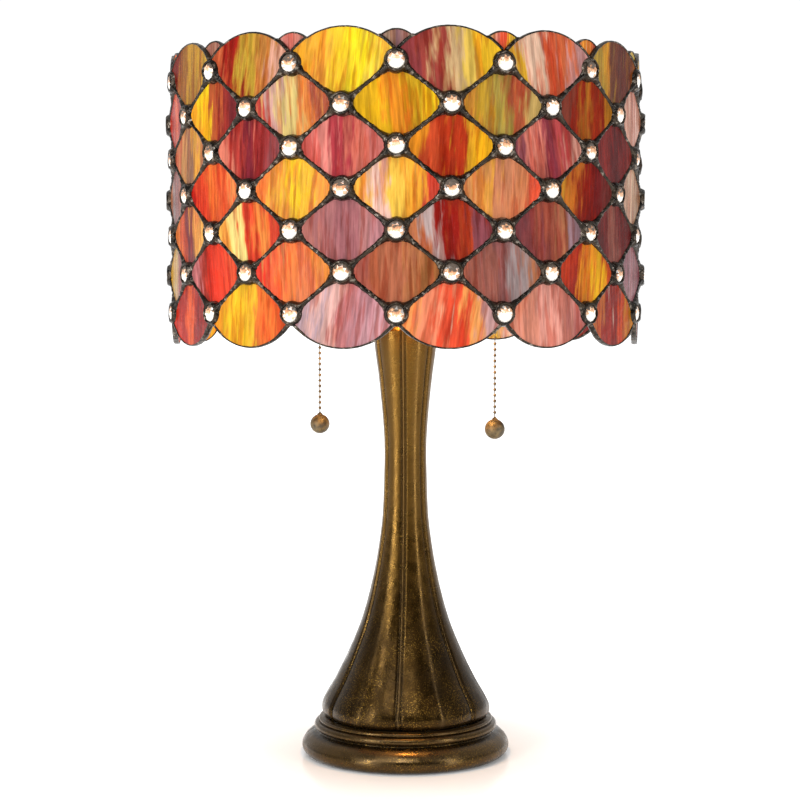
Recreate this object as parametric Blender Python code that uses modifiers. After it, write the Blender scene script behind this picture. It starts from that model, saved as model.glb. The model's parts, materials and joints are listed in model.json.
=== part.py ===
"""Stained-glass drum table lamp: a cast bronze column and foot, two pull-chain sockets on a
cluster, and a drum shade of flat glass panes in a soldered lead lattice, hung on a three-arm spider.

Metres, +Z up, front towards -Y. The origin is the centre of the felt's underside.
An azimuth is the turn about Z from the front, positive towards +X.
"""

import math

import bmesh
import bpy
from mathutils import Matrix, Vector

COLLECTION = "stained_glass_table_lamp"

# Clearances
GAP = 0.0003  # between pieces that touch
RUN = 0.0004  # radial play of a turned or sliding piece

# Foot
FOOT_RADIUS = 0.080
FOOT_HEIGHT = 0.028
FOOT_BASE = 0.001  # the rim stands just clear of the table, on the felt
FOOT_WALL = 0.0065
LEDGE_THICKNESS = 0.004
LEDGE_WIDTH = 0.0075
FELT_THICKNESS = 0.0015
BOARD_THICKNESS = 0.0015
WEIGHT_THICKNESS = 0.0073

# Column
COLUMN_HEIGHT = 0.301
COLUMN_FOOT_RADIUS = 0.065
COLUMN_WALL = 0.0035
# Share of the height, share of the foot radius
COLUMN_OUTLINE = (
    (0.0, 0.965),
    (0.012, 1.0),
    (0.035, 0.992),
    (0.10, 0.825),
    (0.165, 0.678),
    (0.25, 0.518),
    (0.36, 0.384),
    (0.49, 0.285),
    (0.615, 0.255),
    (0.72, 0.255),
    (0.865, 0.315),
    (0.95, 0.366),
    (1.0, 0.376),
)
PANELS = 6
RIB_AZIMUTH = math.radians(-5)
CREASE = 0.035  # how far a panel falls to its crease, as a share of the radius
RIB_HEIGHT = 0.0012
RIB_WIDTH = 0.0026
CAP_THICKNESS = 0.005

# Pipe through the column
PIPE_RADIUS = 0.0048
PIPE_WALL = 0.0014
PIPE_LOW = 0.009
NUT_THICKNESS = 0.005
NUT_OVER_PIPE = 0.0042
WASHER_THICKNESS = 0.0015
WASHER_OVER_PIPE = 0.010
WIRE_RADIUS = 0.0016
WIRE_LOW = 0.0062

# Cord bushing at the back of the foot
BUSHING_BORE = 0.0031
BUSHING_WALL = 0.0013
BUSHING_Z = 0.0075
BUSHING_FLANGE = 0.0064
FLANGE_THICKNESS = 0.0015

# Cluster and sockets
CLUSTER_TURN = math.radians(65)  # azimuth of the right socket
CLUSTER_RADIUS = 0.017
CLUSTER_HEIGHT = 0.022
CLUSTER_RISE = 0.007  # of its underside above the column's cap
SOCKET_TILT = math.radians(45)
SOCKET_OUT = 0.034
SOCKET_UP = 0.0075  # of the socket's foot above the arm's root
ARM_RADIUS = 0.0045
SOCKET_RADIUS = 0.017
SOCKET_WALL = 0.0015
SOCKET_CAP_LENGTH = 0.014
SOCKET_SHELL_LENGTH = 0.038
CORE_LENGTH = 0.026
BULB_BASE_RADIUS = 0.013
BULB_BASE_LENGTH = 0.022
BULB_BASE_TAPER = 0.004  # height of the cone at its contact
BULB_NECK = 0.010  # straight glass above the base
BULB_RADIUS = 0.030
BULB_GLASS_LENGTH = 0.088

# Pull chains
CHAIN_OUT = 0.0743  # distance of a hanging chain from the lamp's axis
SPOUT_RADIUS = 0.003
SPOUT_AT = 0.030  # along the socket
LINK_RADIUS = 0.0016
CHAIN_RADIUS = 0.0012
CHAIN_LENGTH = 0.096
BALL_RADIUS = 0.0077

# Shade
COLUMNS = 15
SHADE_RADIUS = 0.177  # to the middle of the glass, at the panes' sides
FIRST_JEWEL_AZIMUTH = math.radians(-2)
ROWS = 7
ROW_RISE = 0.0283
LOW_ROW_OVER_CAP = 0.005  # height of the lowest jewel row above the column's cap
GLASS_THICKNESS = 0.003
NET_THICKNESS = 0.0015
JEWEL_OUT = 0.0030  # how far a joint of the lattice stands out past the net between
SEAM_HALF = 0.00155  # half the width of a straight run of the net
SIDE_FLAT = 0.0038  # half the upright flat of a window beside a jewel
JEWEL_END = 0.0088  # from a jewel's centre to the window above or below it
PANE_LAP = 0.0008  # how far the glass reaches under the net
SCALLOP_PEAK = 0.0243
SCALLOP_RADIUS = 0.0476
RIM_WIDTH = 0.0016
NOTCH = 0.0085  # from an end row's jewel to where two scallops meet
FAN_HALF = 0.0113
FAN_PEAK = 0.0216
FAN_LINK = 0.0012  # half the strip of glass behind the lattice that holds a fan

# Spider
HUB_UNDER_TOP_ROW = 0.006
HUB_RADIUS = 0.011
HUB_THICKNESS = 0.004
SPIDER_ARMS = 3
FIRST_ARM_AZIMUTH = math.radians(10)
SPIDER_WIRE = 0.0016
RING_SIDES = 30
RISER_RADIUS = 0.005
COLLAR_RADIUS = 0.0095
COLLAR_THICKNESS = 0.003
STUD_RADIUS = 0.003
STUD_HEIGHT = 0.013
FINIAL_HEIGHT = 0.020
# Radius, distance below the tip
FINIAL_OUTLINE = (
    (0, 0),
    (0.0028, 0.001),
    (0.0046, 0.004),
    (0.0030, 0.0075),
    (0.0058, 0.0095),
    (0.0078, 0.0145),
    (0.0080, 0.018),
    (0.0068, FINIAL_HEIGHT),
)

# Heights that follow
FOOT_TOP = FOOT_BASE + FOOT_HEIGHT
COLUMN_LOW = FOOT_TOP + GAP
COLUMN_TOP = COLUMN_LOW + COLUMN_HEIGHT
CAP_TOP = COLUMN_TOP + GAP + CAP_THICKNESS
CLUSTER_LOW = CAP_TOP + CLUSTER_RISE
CLUSTER_TOP = CLUSTER_LOW + CLUSTER_HEIGHT
LOW_ROW_Z = CAP_TOP + LOW_ROW_OVER_CAP
TOP_ROW_Z = LOW_ROW_Z + (ROWS - 1) * ROW_RISE
HUB_LOW = TOP_ROW_Z - HUB_UNDER_TOP_ROW
PIPE_BORE = PIPE_RADIUS - PIPE_WALL
PIPE_HOLE = PIPE_RADIUS + RUN

# The lattice that follows
HALF_STEP = math.pi / COLUMNS
PANE_DISTANCE = SHADE_RADIUS * math.cos(HALF_STEP) + GLASS_THICKNESS / 2
HALF_PITCH = SHADE_RADIUS * math.sin(HALF_STEP)
NET_DISTANCE = PANE_DISTANCE + GLASS_THICKNESS / 2 + GAP + NET_THICKNESS
NODE_RADIUS = (NET_DISTANCE / math.cos(HALF_STEP * 0.8)) + JEWEL_OUT - NET_THICKNESS / 2


def clear_scene():
    for obj in list(bpy.data.objects):
        bpy.data.objects.remove(obj)


def collection(name):
    made = bpy.data.collections.new(name)
    bpy.context.scene.collection.children.link(made)
    return made


def material(name, colour, roughness, metallic=0.0):
    made = bpy.data.materials.new(name)
    made.use_nodes = True
    shader = made.node_tree.nodes["Principled BSDF"]
    shader.inputs["Base Color"].default_value = (*colour, 1.0)
    shader.inputs["Roughness"].default_value = roughness
    shader.inputs["Metallic"].default_value = metallic
    made.diffuse_color = (*colour, 1.0)
    return made


def new_object(name, mesh, mat, group, parent=None):
    obj = bpy.data.objects.new(name, mesh)
    group.objects.link(obj)
    if mat:
        mesh.materials.append(mat)
    if parent:
        obj.parent = parent
    return obj


def joint_empty(name, place, group):
    """An empty on a joint's axis, which carries the pieces that move together."""
    obj = bpy.data.objects.new(name, None)
    group.objects.link(obj)
    obj.empty_display_size = 0.02
    obj.matrix_world = Matrix.Translation(place)
    return obj


def on_parent(obj, matrix):
    """Places an object by its world matrix, under whatever parent it has."""
    bpy.context.view_layer.update()
    obj.matrix_world = matrix


def smooth(mesh, angle=35):
    mesh.shade_smooth()
    mesh.set_sharp_from_angle(angle=math.radians(angle))


def turned(name, profile, mat, group, parent=None, matrix=Matrix(), steps=24):
    """A profile of (radius, height) turned about the object's Z: down the outside, then up the bore."""
    mesh = bpy.data.meshes.new(name)
    points = [(radius, 0.0, height) for radius, height in profile]
    closed = min(radius for radius, _ in profile) > 0
    edges = [(i, i + 1) for i in range(len(points) - 1)]
    if closed:
        edges.append((len(points) - 1, 0))
    mesh.from_pydata(points, edges, [])
    obj = new_object(name, mesh, mat, group, parent)
    screw = obj.modifiers.new("turn", "SCREW")
    screw.steps = steps
    screw.render_steps = steps
    screw.use_merge_vertices = True
    screw.merge_threshold = 0.00001
    screw.use_smooth_shade = True
    on_parent(obj, matrix)
    return obj


def tube(low, high, outer, bore):
    """The profile of a plain tube, or of a rod when bore is 0."""
    return [(bore, high), (outer, high), (outer, low), (bore, low)]


def rod(name, points, radius, mat, group, parent=None, sides=2):
    """A round wire or pipe along points, with flat filled ends."""
    curve = bpy.data.curves.new(name, "CURVE")
    curve.dimensions = "3D"
    curve.bevel_depth = radius
    curve.bevel_resolution = sides
    curve.use_fill_caps = True
    spline = curve.splines.new("POLY")
    spline.points.add(len(points) - 1)
    for point, place in zip(spline.points, points):
        point.co = (*place, 1.0)
    curve.materials.append(mat)
    obj = bpy.data.objects.new(name, curve)
    group.objects.link(obj)
    if parent:
        obj.parent = parent
        on_parent(obj, Matrix())
    return obj


def hex_nut(name, low, bore, mat, group):
    """A six-sided nut round the pipe, its bore six-sided too and wide enough for the round pipe."""
    mesh = bpy.data.meshes.new(name)
    shape = bmesh.new()
    rings = []
    outer = bore + NUT_OVER_PIPE
    inner = bore / math.cos(math.pi / 6)
    top = low + NUT_THICKNESS
    for radius, height in ((outer, low), (outer, top), (inner, top), (inner, low)):
        corners = [polar(i * math.tau / 6, radius, height) for i in range(6)]
        rings.append([shape.verts.new(corner) for corner in corners])
    close_rings(shape, rings)
    shape.to_mesh(mesh)
    shape.free()
    return new_object(name, mesh, mat, group)


def close_rings(shape, rings):
    """Faces between each ring of vertices and the next, and from the last back to the first."""
    count = len(rings[0])
    for ring, following in zip(rings, rings[1:] + rings[:1]):
        for i in range(count):
            j = (i + 1) % count
            shape.faces.new((ring[i], ring[j], following[j], following[i]))
    bmesh.ops.recalc_face_normals(shape, faces=shape.faces)


def polar(azimuth, radius, height):
    return Vector((radius * math.sin(azimuth), -radius * math.cos(azimuth), height))


def smooth_read(outline, share):
    """Reads a smooth curve through the outline's (share, value) points."""
    for i in range(len(outline) - 1):
        if share <= outline[i + 1][0]:
            break
    before = outline[max(i - 1, 0)]
    start, end = outline[i], outline[i + 1]
    after = outline[min(i + 2, len(outline) - 1)]
    span = end[0] - start[0]
    t = (share - start[0]) / span
    slope_in = (end[1] - before[1]) / (end[0] - before[0]) * span
    slope_out = (after[1] - start[1]) / (after[0] - start[0]) * span
    return (
        (2 * t**3 - 3 * t**2 + 1) * start[1]
        + (t**3 - 2 * t**2 + t) * slope_in
        + (3 * t**2 - 2 * t**3) * end[1]
        + (t**3 - t**2) * slope_out
    )


def column_section(radius):
    """(azimuth, radius) round the column: panels that fall to creases, with a thin rib in each crease."""
    panel = math.tau / PANELS
    crease_radius = radius * (1 - CREASE)
    rib_half = RIB_WIDTH / 2 / radius
    section = []
    for i in range(PANELS):
        rib = RIB_AZIMUTH + i * panel
        section.append((rib, crease_radius + RIB_HEIGHT))
        section.append((rib + rib_half, crease_radius))
        for share in (0.22, 0.5, 0.78):
            fall = abs(2 * share - 1) ** 2
            section.append((rib + share * panel, radius * (1 - CREASE * fall)))
        section.append((rib + panel - rib_half, crease_radius))
    return section


def make_foot(group, cutters, mats):
    """The turned foot with its roll, groove and small bead, open below, and a hole at the back."""
    r, top, low = FOOT_RADIUS, FOOT_TOP, FOOT_BASE
    inner = r - FOOT_WALL
    ledge = COLUMN_FOOT_RADIUS - LEDGE_WIDTH
    bead = COLUMN_FOOT_RADIUS + 0.0055
    under = top - LEDGE_THICKNESS
    profile = [
        (ledge, top),
        (COLUMN_FOOT_RADIUS - 0.0005, top),
        (bead - 0.002, top - 0.0015),
        (bead, top - 0.004),
        (bead - 0.001, top - 0.007),
        (bead - 0.002, top - 0.0085),
        (r - 0.0065, top - 0.0105),
        (r - 0.0023, top - 0.014),
        (r, top - 0.019),
        (r, low + 0.0045),
        (r - 0.0018, low + 0.0013),
        (r - 0.004, low),
        (r - 0.007, low),
        (r - 0.007, low + FOOT_WALL / 2),
        (inner, low + 0.008),
        (inner - 0.004, low + 0.0145),
        (bead - 0.0065, low + 0.0185),
        (bead - 0.0065, under),
        (ledge, under),
    ]
    foot = turned("foot_casting", profile, mats["bronze"], group, steps=36)
    reach = FOOT_WALL * 3
    bpy.ops.mesh.primitive_cylinder_add(
        vertices=20, radius=BUSHING_BORE + BUSHING_WALL + GAP, depth=reach
    )
    cutter = bpy.context.object
    cutter.name = "bushing_hole"
    for home in list(cutter.users_collection):
        home.objects.unlink(cutter)
    cutters.objects.link(cutter)
    cutter.matrix_world = Matrix.Translation((0, r - FOOT_WALL / 2, BUSHING_Z)) @ Matrix.Rotation(
        math.pi / 2, 4, "X"
    )
    cutter.hide_render = True
    cutter.display_type = "WIRE"
    cut = foot.modifiers.new("bushing_hole", "BOOLEAN")
    cut.operation = "DIFFERENCE"
    cut.solver = "EXACT"
    cut.object = cutter


def make_foot_inside(group, mats):
    """What the foot holds: the weight, its clamp, the board and felt below, and the cord's bushing."""
    board_radius = FOOT_RADIUS - 0.007 - GAP - 0.0002
    board_low = FELT_THICKNESS + GAP
    turned(
        "felt_pad",
        [(0, FELT_THICKNESS), (board_radius, FELT_THICKNESS), (board_radius, 0), (0, 0)],
        mats["felt"],
        group,
    )
    turned(
        "cover_board",
        [
            (0, board_low + BOARD_THICKNESS),
            (board_radius, board_low + BOARD_THICKNESS),
            (board_radius, board_low),
            (0, board_low),
        ],
        mats["board"],
        group,
    )
    weight_top = FOOT_TOP - LEDGE_THICKNESS - GAP
    weight_low = weight_top - WEIGHT_THICKNESS
    weight_radius = COLUMN_FOOT_RADIUS + 0.0055 - 0.0065 - 0.0045
    turned(
        "foot_weight",
        tube(weight_low, weight_top, weight_radius, PIPE_HOLE),
        mats["iron"],
        group,
    )
    washer_low = weight_low - GAP - WASHER_THICKNESS
    turned(
        "bottom_washer",
        tube(washer_low, washer_low + WASHER_THICKNESS, PIPE_RADIUS + WASHER_OVER_PIPE, PIPE_HOLE),
        mats["steel"],
        group,
        steps=20,
    )
    hex_nut("bottom_nut", washer_low - GAP - NUT_THICKNESS, PIPE_HOLE, mats["steel"], group)
    barrel = BUSHING_BORE + BUSHING_WALL
    face = FOOT_RADIUS + GAP + 0.0002
    turned(
        "cord_bushing",
        [
            (BUSHING_BORE, face + FLANGE_THICKNESS),
            (BUSHING_FLANGE, face + FLANGE_THICKNESS),
            (BUSHING_FLANGE, face),
            (barrel, face),
            (barrel, FOOT_RADIUS - FOOT_WALL),
            (BUSHING_BORE, FOOT_RADIUS - FOOT_WALL),
        ],
        mats["rubber"],
        group,
        matrix=Matrix.Translation((0, 0, BUSHING_Z)) @ Matrix.Rotation(-math.pi / 2, 4, "X"),
        steps=20,
    )


def make_column(group, mats):
    """The hollow cast column: a bell below a narrow waist, in panels with ribs between, and its cap."""
    mesh = bpy.data.meshes.new("column_casting")
    shape = bmesh.new()
    shares = [0.0, 0.012, 0.035, 0.10, 0.165, 0.25, 0.36, 0.49, 0.615, 0.72, 0.865, 0.95, 1.0]
    outer, inner = [], []
    for share in shares:
        radius = smooth_read(COLUMN_OUTLINE, share) * COLUMN_FOOT_RADIUS
        height = COLUMN_LOW + share * COLUMN_HEIGHT
        bore = radius * (1 - CREASE) - COLUMN_WALL
        section = column_section(radius)
        outer.append([shape.verts.new(polar(azimuth, r, height)) for azimuth, r in section])
        inner.append([shape.verts.new(polar(azimuth, bore, height)) for azimuth, _ in section])
    close_rings(shape, outer + inner[::-1])
    shape.to_mesh(mesh)
    shape.free()
    smooth(mesh)
    new_object("column_casting", mesh, mats["bronze"], group)
    cap_radius = COLUMN_FOOT_RADIUS * COLUMN_OUTLINE[-1][1] * (1 - CREASE)
    cap_low = COLUMN_TOP + GAP
    turned(
        "column_cap",
        [
            (PIPE_HOLE, CAP_TOP),
            (cap_radius * 0.55, CAP_TOP),
            (cap_radius * 0.93, cap_low + 0.003),
            (cap_radius, cap_low + 0.0012),
            (cap_radius, cap_low),
            (PIPE_HOLE, cap_low),
        ],
        mats["bronze"],
        group,
    )


def make_pipe(group, mats):
    """The threaded pipe that holds foot, column and cluster together, its nuts, and the wire in it."""
    pipe_top = CLUSTER_TOP + GAP + NUT_THICKNESS + 0.001
    turned("threaded_pipe", tube(PIPE_LOW, pipe_top, PIPE_RADIUS, PIPE_BORE), mats["brass"], group, steps=16)
    hex_nut("cap_nut", CAP_TOP + GAP, PIPE_HOLE, mats["brass"], group)
    hex_nut("cluster_nut", CLUSTER_TOP + GAP, PIPE_HOLE, mats["brass"], group)
    start = FOOT_RADIUS - FOOT_WALL - 0.002
    route = [
        Vector((0, start, BUSHING_Z)),
        Vector((0, start * 0.7, (BUSHING_Z + WIRE_LOW) / 2)),
        Vector((0, start * 0.3, WIRE_LOW)),
        Vector((0, 0.007, WIRE_LOW)),
        Vector((0, 0.0035, WIRE_LOW + 0.0006)),
        Vector((0, 0.0012, WIRE_LOW + 0.002)),
        Vector((0, 0.0003, WIRE_LOW + 0.004)),
        Vector((0, 0, WIRE_LOW + 0.008)),
        Vector((0, 0, CLUSTER_TOP)),
    ]
    rod("inner_wire", route, WIRE_RADIUS, mats["wire"], group)


def make_cluster(group, mats):
    """The body that both sockets' arms leave, and the riser that carries the shade."""
    r, low, top = CLUSTER_RADIUS, CLUSTER_LOW, CLUSTER_TOP
    turned(
        "cluster_body",
        [
            (PIPE_HOLE, top),
            (r * 0.72, top),
            (r, top - 0.005),
            (r, low + 0.005),
            (r * 0.72, low),
            (PIPE_HOLE, low),
        ],
        mats["brass"],
        group,
        steps=24,
    )
    riser_low = CLUSTER_TOP + 2 * GAP + NUT_THICKNESS + 0.001
    collar_top = HUB_LOW - GAP
    turned(
        "riser_rod",
        [
            (0, collar_top + GAP + STUD_HEIGHT),
            (STUD_RADIUS, collar_top + GAP + STUD_HEIGHT),
            (STUD_RADIUS, collar_top),
            (COLLAR_RADIUS, collar_top),
            (COLLAR_RADIUS, collar_top - COLLAR_THICKNESS),
            (RISER_RADIUS, collar_top - COLLAR_THICKNESS),
            (RISER_RADIUS, riser_low + 0.002),
            (RISER_RADIUS + 0.003, riser_low),
            (0, riser_low),
        ],
        mats["brass"],
        group,
        steps=20,
    )


def socket_frame(side):
    """The matrix whose Z runs out along a socket from the socket's foot, and whose X points down and out."""
    outward = polar(CLUSTER_TURN, 1, 0) * side
    up = Vector((0, 0, 1))
    along = outward * math.sin(SOCKET_TILT) + up * math.cos(SOCKET_TILT)
    across = outward * math.cos(SOCKET_TILT) - up * math.sin(SOCKET_TILT)
    third = along.cross(across)
    turn = Matrix((across, third, along)).transposed().to_4x4()
    root = outward * SOCKET_OUT + up * (CLUSTER_LOW + CLUSTER_HEIGHT / 2 + SOCKET_UP)
    return Matrix.Translation(root) @ turn, outward


def make_socket(group, mats, side, word):
    """One socket with its arm, cap, shell, core, chain spout and bulb. Returns the spout's mouth."""
    frame, outward = socket_frame(side)
    root_z = CLUSTER_LOW + CLUSTER_HEIGHT / 2
    bend = SOCKET_OUT - CLUSTER_RADIUS
    arm = []
    start = outward * (CLUSTER_RADIUS + GAP) + Vector((0, 0, root_z))
    end = frame @ Vector((0, 0, -GAP))
    corner = start + outward * (bend - SOCKET_UP)
    steps = 6
    arm.append(start)
    for i in range(steps + 1):
        t = i / steps
        first = start + outward * 0.004
        point = first * (1 - t) ** 2 + corner * 2 * t * (1 - t) + end * t**2
        arm.append(point)
    rod(f"socket_arm_{word}", arm, ARM_RADIUS, mats["brass"], group)

    cap_top = SOCKET_CAP_LENGTH
    turned(
        f"socket_cap_{word}",
        [
            (0, cap_top),
            (SOCKET_RADIUS, cap_top),
            (SOCKET_RADIUS, cap_top - 0.004),
            (SOCKET_RADIUS * 0.82, cap_top - 0.0095),
            (ARM_RADIUS + 0.002, 0.0),
            (0, 0.0),
        ],
        mats["brass"],
        group,
        matrix=frame,
        steps=24,
    )
    shell_low = cap_top + GAP
    shell_top = shell_low + SOCKET_SHELL_LENGTH
    bore = SOCKET_RADIUS - SOCKET_WALL
    shell = tube(shell_low, shell_top, SOCKET_RADIUS, bore)
    turned(f"socket_shell_{word}", shell, mats["brass"], group, matrix=frame, steps=20)
    core_low = shell_low + GAP
    core = tube(core_low, core_low + CORE_LENGTH, bore - GAP, 0)
    turned(f"socket_core_{word}", core, mats["phenolic"], group, matrix=frame, steps=20)

    spout_end = (CHAIN_OUT - SOCKET_OUT - SPOUT_AT * math.sin(SOCKET_TILT)) / math.cos(SOCKET_TILT)
    spout_frame = frame @ Matrix.Translation((0, 0, SPOUT_AT)) @ Matrix.Rotation(math.pi / 2, 4, "Y")
    spout = tube(SOCKET_RADIUS + GAP, spout_end, SPOUT_RADIUS, 0)
    turned(f"chain_spout_{word}", spout, mats["brass"], group, matrix=spout_frame, steps=12)

    base_low = core_low + CORE_LENGTH + GAP
    base_top = base_low + BULB_BASE_LENGTH
    holder = joint_empty(f"bulb_axis_{word}", frame @ Vector((0, 0, base_low)), group)
    turned(
        f"bulb_base_{word}",
        [
            (0, base_top),
            (BULB_BASE_RADIUS, base_top),
            (BULB_BASE_RADIUS, base_low + BULB_BASE_TAPER),
            (BULB_BASE_RADIUS * 0.4, base_low),
            (0, base_low),
        ],
        mats["steel"],
        group,
        parent=holder,
        matrix=frame,
        steps=20,
    )
    glass_low = base_top + GAP
    glass = [(0, glass_low + BULB_GLASS_LENGTH)]
    centre = glass_low + BULB_GLASS_LENGTH - BULB_RADIUS
    for i in range(1, 7):
        angle = math.radians(90 - i * 21)
        glass.append((BULB_RADIUS * math.cos(angle), centre + BULB_RADIUS * math.sin(angle)))
    glass.append((BULB_BASE_RADIUS, glass_low + BULB_NECK))
    glass.append((BULB_BASE_RADIUS, glass_low))
    glass.append((0, glass_low))
    turned(
        f"bulb_glass_{word}", glass, mats["bulb"], group, parent=holder, matrix=frame, steps=16
    )
    return frame @ Matrix.Translation((0, 0, SPOUT_AT)) @ Vector((spout_end, 0, 0))


def ball(name, centre, radius, mat, group, parent, segments, rings):
    mesh = bpy.data.meshes.new(name)
    shape = bmesh.new()
    bmesh.ops.create_uvsphere(shape, u_segments=segments, v_segments=rings, radius=radius)
    shape.to_mesh(mesh)
    shape.free()
    mesh.shade_smooth()
    obj = new_object(name, mesh, mat, group, parent)
    on_parent(obj, Matrix.Translation(centre))
    return obj


def make_pull(group, mats, word, exit_point):
    """A pull chain: the link that slides in the spout, and the chain and ball that swing on it."""
    link_z = exit_point.z - SPOUT_RADIUS * math.sin(SOCKET_TILT) - GAP - LINK_RADIUS - 0.0004
    link_at = Vector((exit_point.x, exit_point.y, link_z))
    slider = joint_empty(f"pull_axis_{word}", link_at, group)
    ball(f"pull_link_{word}", link_at, LINK_RADIUS, mats["aged_brass"], group, slider, 8, 6)
    swing = joint_empty(f"swing_axis_{word}", link_at, group)
    top = link_at - Vector((0, 0, LINK_RADIUS + GAP))
    low = top - Vector((0, 0, CHAIN_LENGTH))
    rod(f"pull_chain_{word}", [top, low], CHAIN_RADIUS, mats["aged_brass"], group, swing, 1)
    ball_at = low - Vector((0, 0, BALL_RADIUS + GAP))
    ball(f"pull_ball_{word}", ball_at, BALL_RADIUS, mats["aged_brass"], group, swing, 16, 10)


def column_azimuth(row, step):
    """The azimuth of a pane in a row, counted from 0 at the top: even rows stand between the first jewels."""
    offset = HALF_STEP if row % 2 == 0 else 0.0
    return FIRST_JEWEL_AZIMUTH + offset + 2 * HALF_STEP * step


def row_height(row):
    return TOP_ROW_Z - row * ROW_RISE


def on_plane(azimuth, distance, across, height):
    """A point on the upright plane that stands at a distance from the axis and faces the azimuth."""
    return polar(azimuth, distance, height) + Vector((math.cos(azimuth), math.sin(azimuth), 0)) * across


def scallop(across):
    """Height of an end pane's scalloped edge above its jewel row, at a distance from its middle."""
    return SCALLOP_PEAK - SCALLOP_RADIUS + math.sqrt(SCALLOP_RADIUS**2 - across**2)


def fan_curve(across):
    """Height of a fan pane's top edge above its jewel: a low arc through its corners and peak."""
    corner = scallop(HALF_PITCH - FAN_HALF)
    return FAN_PEAK - (FAN_PEAK - corner) * (across / FAN_HALF) ** 2


def pane_corners(lap):
    """(half width, half its side flat, half its end flat, half height) of a diamond between four jewels,
    whose edges run parallel to the lattice. The lap moves every edge outwards."""
    slope = math.hypot(1 / HALF_PITCH, 1 / ROW_RISE)
    spare = 1 - (SEAM_HALF - lap) * slope
    across = HALF_PITCH * (1 - SEAM_HALF * slope - SIDE_FLAT / ROW_RISE) + lap
    rise = ROW_RISE - JEWEL_END + lap
    side_flat = ROW_RISE * (spare - across / HALF_PITCH)
    end_flat = HALF_PITCH * (spare - rise / ROW_RISE)
    return across, side_flat, end_flat, rise


def half_pane(kind, lap):
    """The right half of a pane, from its lower flat to its upper: (across, up) of its outline, and the name
    of the point of the net beyond it. It is the net's window with no lap, and the glass with one."""
    across, side_flat, end_flat, rise = pane_corners(lap)
    lower = [((end_flat, -rise), "below"), ((across, -side_flat), "side"), ((across, side_flat), "side")]
    if kind == "diamond":
        return lower + [((end_flat, rise), "above")]
    middle = (HALF_PITCH - FAN_HALF) / 2
    shoulder = across + RIM_WIDTH * 0.75
    corner = HALF_PITCH - FAN_HALF - RIM_WIDTH / 2 + lap / 2
    rim = [
        ((shoulder, scallop(shoulder) - RIM_WIDTH * 1.9 + lap), "notch"),
        ((corner, scallop(corner) - RIM_WIDTH * 1.3 + lap), "corner"),
        ((middle, scallop(middle) - RIM_WIDTH + lap), middle),
        ((0.0, scallop(0) - RIM_WIDTH + lap), 0.0),
    ]
    return lower + rim


def whole_pane(kind, lap):
    """All round a pane, counter-clockwise seen from outside; a bottom scallop is a top one turned over."""
    right = half_pane("diamond" if kind == "diamond" else "scallop", lap)
    left = []
    for (across, up), beyond in reversed(right):
        if across > 0:
            left.append(((-across, up), beyond))
    points = [(point, beyond, 1 if point[0] > 0 else -1) for point, beyond in right + left]
    if kind == "low_scallop":
        flip = {"below": "above"}
        points = [((a, -u), flip.get(b, b), s) for (a, u), b, s in reversed(points)]
    return points


def pane_kind(row):
    if row == 0:
        return "top_scallop"
    return "low_scallop" if row == ROWS - 1 else "diamond"


def net_point(row, azimuth, kind, beyond, sign):
    """Where the net's outer points stand: at the jewels, and along the scalloped rims."""
    z = row_height(row)
    turned_over = -1 if kind == "low_scallop" else 1
    if beyond == "side":
        return polar(azimuth + sign * HALF_STEP, NODE_RADIUS, z)
    if beyond in ("above", "below"):
        return polar(azimuth, NODE_RADIUS, z + ROW_RISE * (1 if beyond == "above" else -1))
    if beyond == "notch":
        radius = NODE_RADIUS - NET_THICKNESS
        return polar(azimuth + sign * HALF_STEP, radius, z + NOTCH * turned_over)
    across = HALF_PITCH - FAN_HALF if beyond == "corner" else beyond
    return on_plane(azimuth, NET_DISTANCE, sign * across, z + scallop(across) * turned_over)


class Sheet:
    """An open sheet built pane by pane, whose shared points are made once."""

    def __init__(self):
        self.shape = bmesh.new()
        self.made = {}

    def vert(self, place):
        key = tuple(round(value, 6) for value in place)
        if key not in self.made:
            self.made[key] = self.shape.verts.new(place)
        return self.made[key]

    def face(self, places):
        corners = []
        for place in places:
            corner = self.vert(place)
            if corner not in corners:
                corners.append(corner)
        self.shape.faces.new(corners)

    def finish(self, name, thickness, offset, mat, group, parent):
        mesh = bpy.data.meshes.new(name)
        self.shape.to_mesh(mesh)
        self.shape.free()
        obj = new_object(name, mesh, mat, group, parent)
        solidify = obj.modifiers.new("thickness", "SOLIDIFY")
        solidify.thickness = thickness
        solidify.offset = offset
        on_parent(obj, Matrix())
        return obj


def fan_points(lap):
    """A fan pane from its low point round, counter-clockwise seen from outside, as half_pane gives a pane."""
    inset = FAN_HALF * 0.84
    half = inset / 2
    side = fan_curve(inset) - RIM_WIDTH * 0.7 + lap
    top = fan_curve(half) - RIM_WIDTH + lap
    return [
        ((0.0, NOTCH + RIM_WIDTH * 2 - lap), "notch", 1),
        ((inset + lap, side), "corner", 1),
        ((half, top), half, 1),
        ((-half, top), half, -1),
        ((-inset - lap, side), "corner", -1),
    ]


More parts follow.
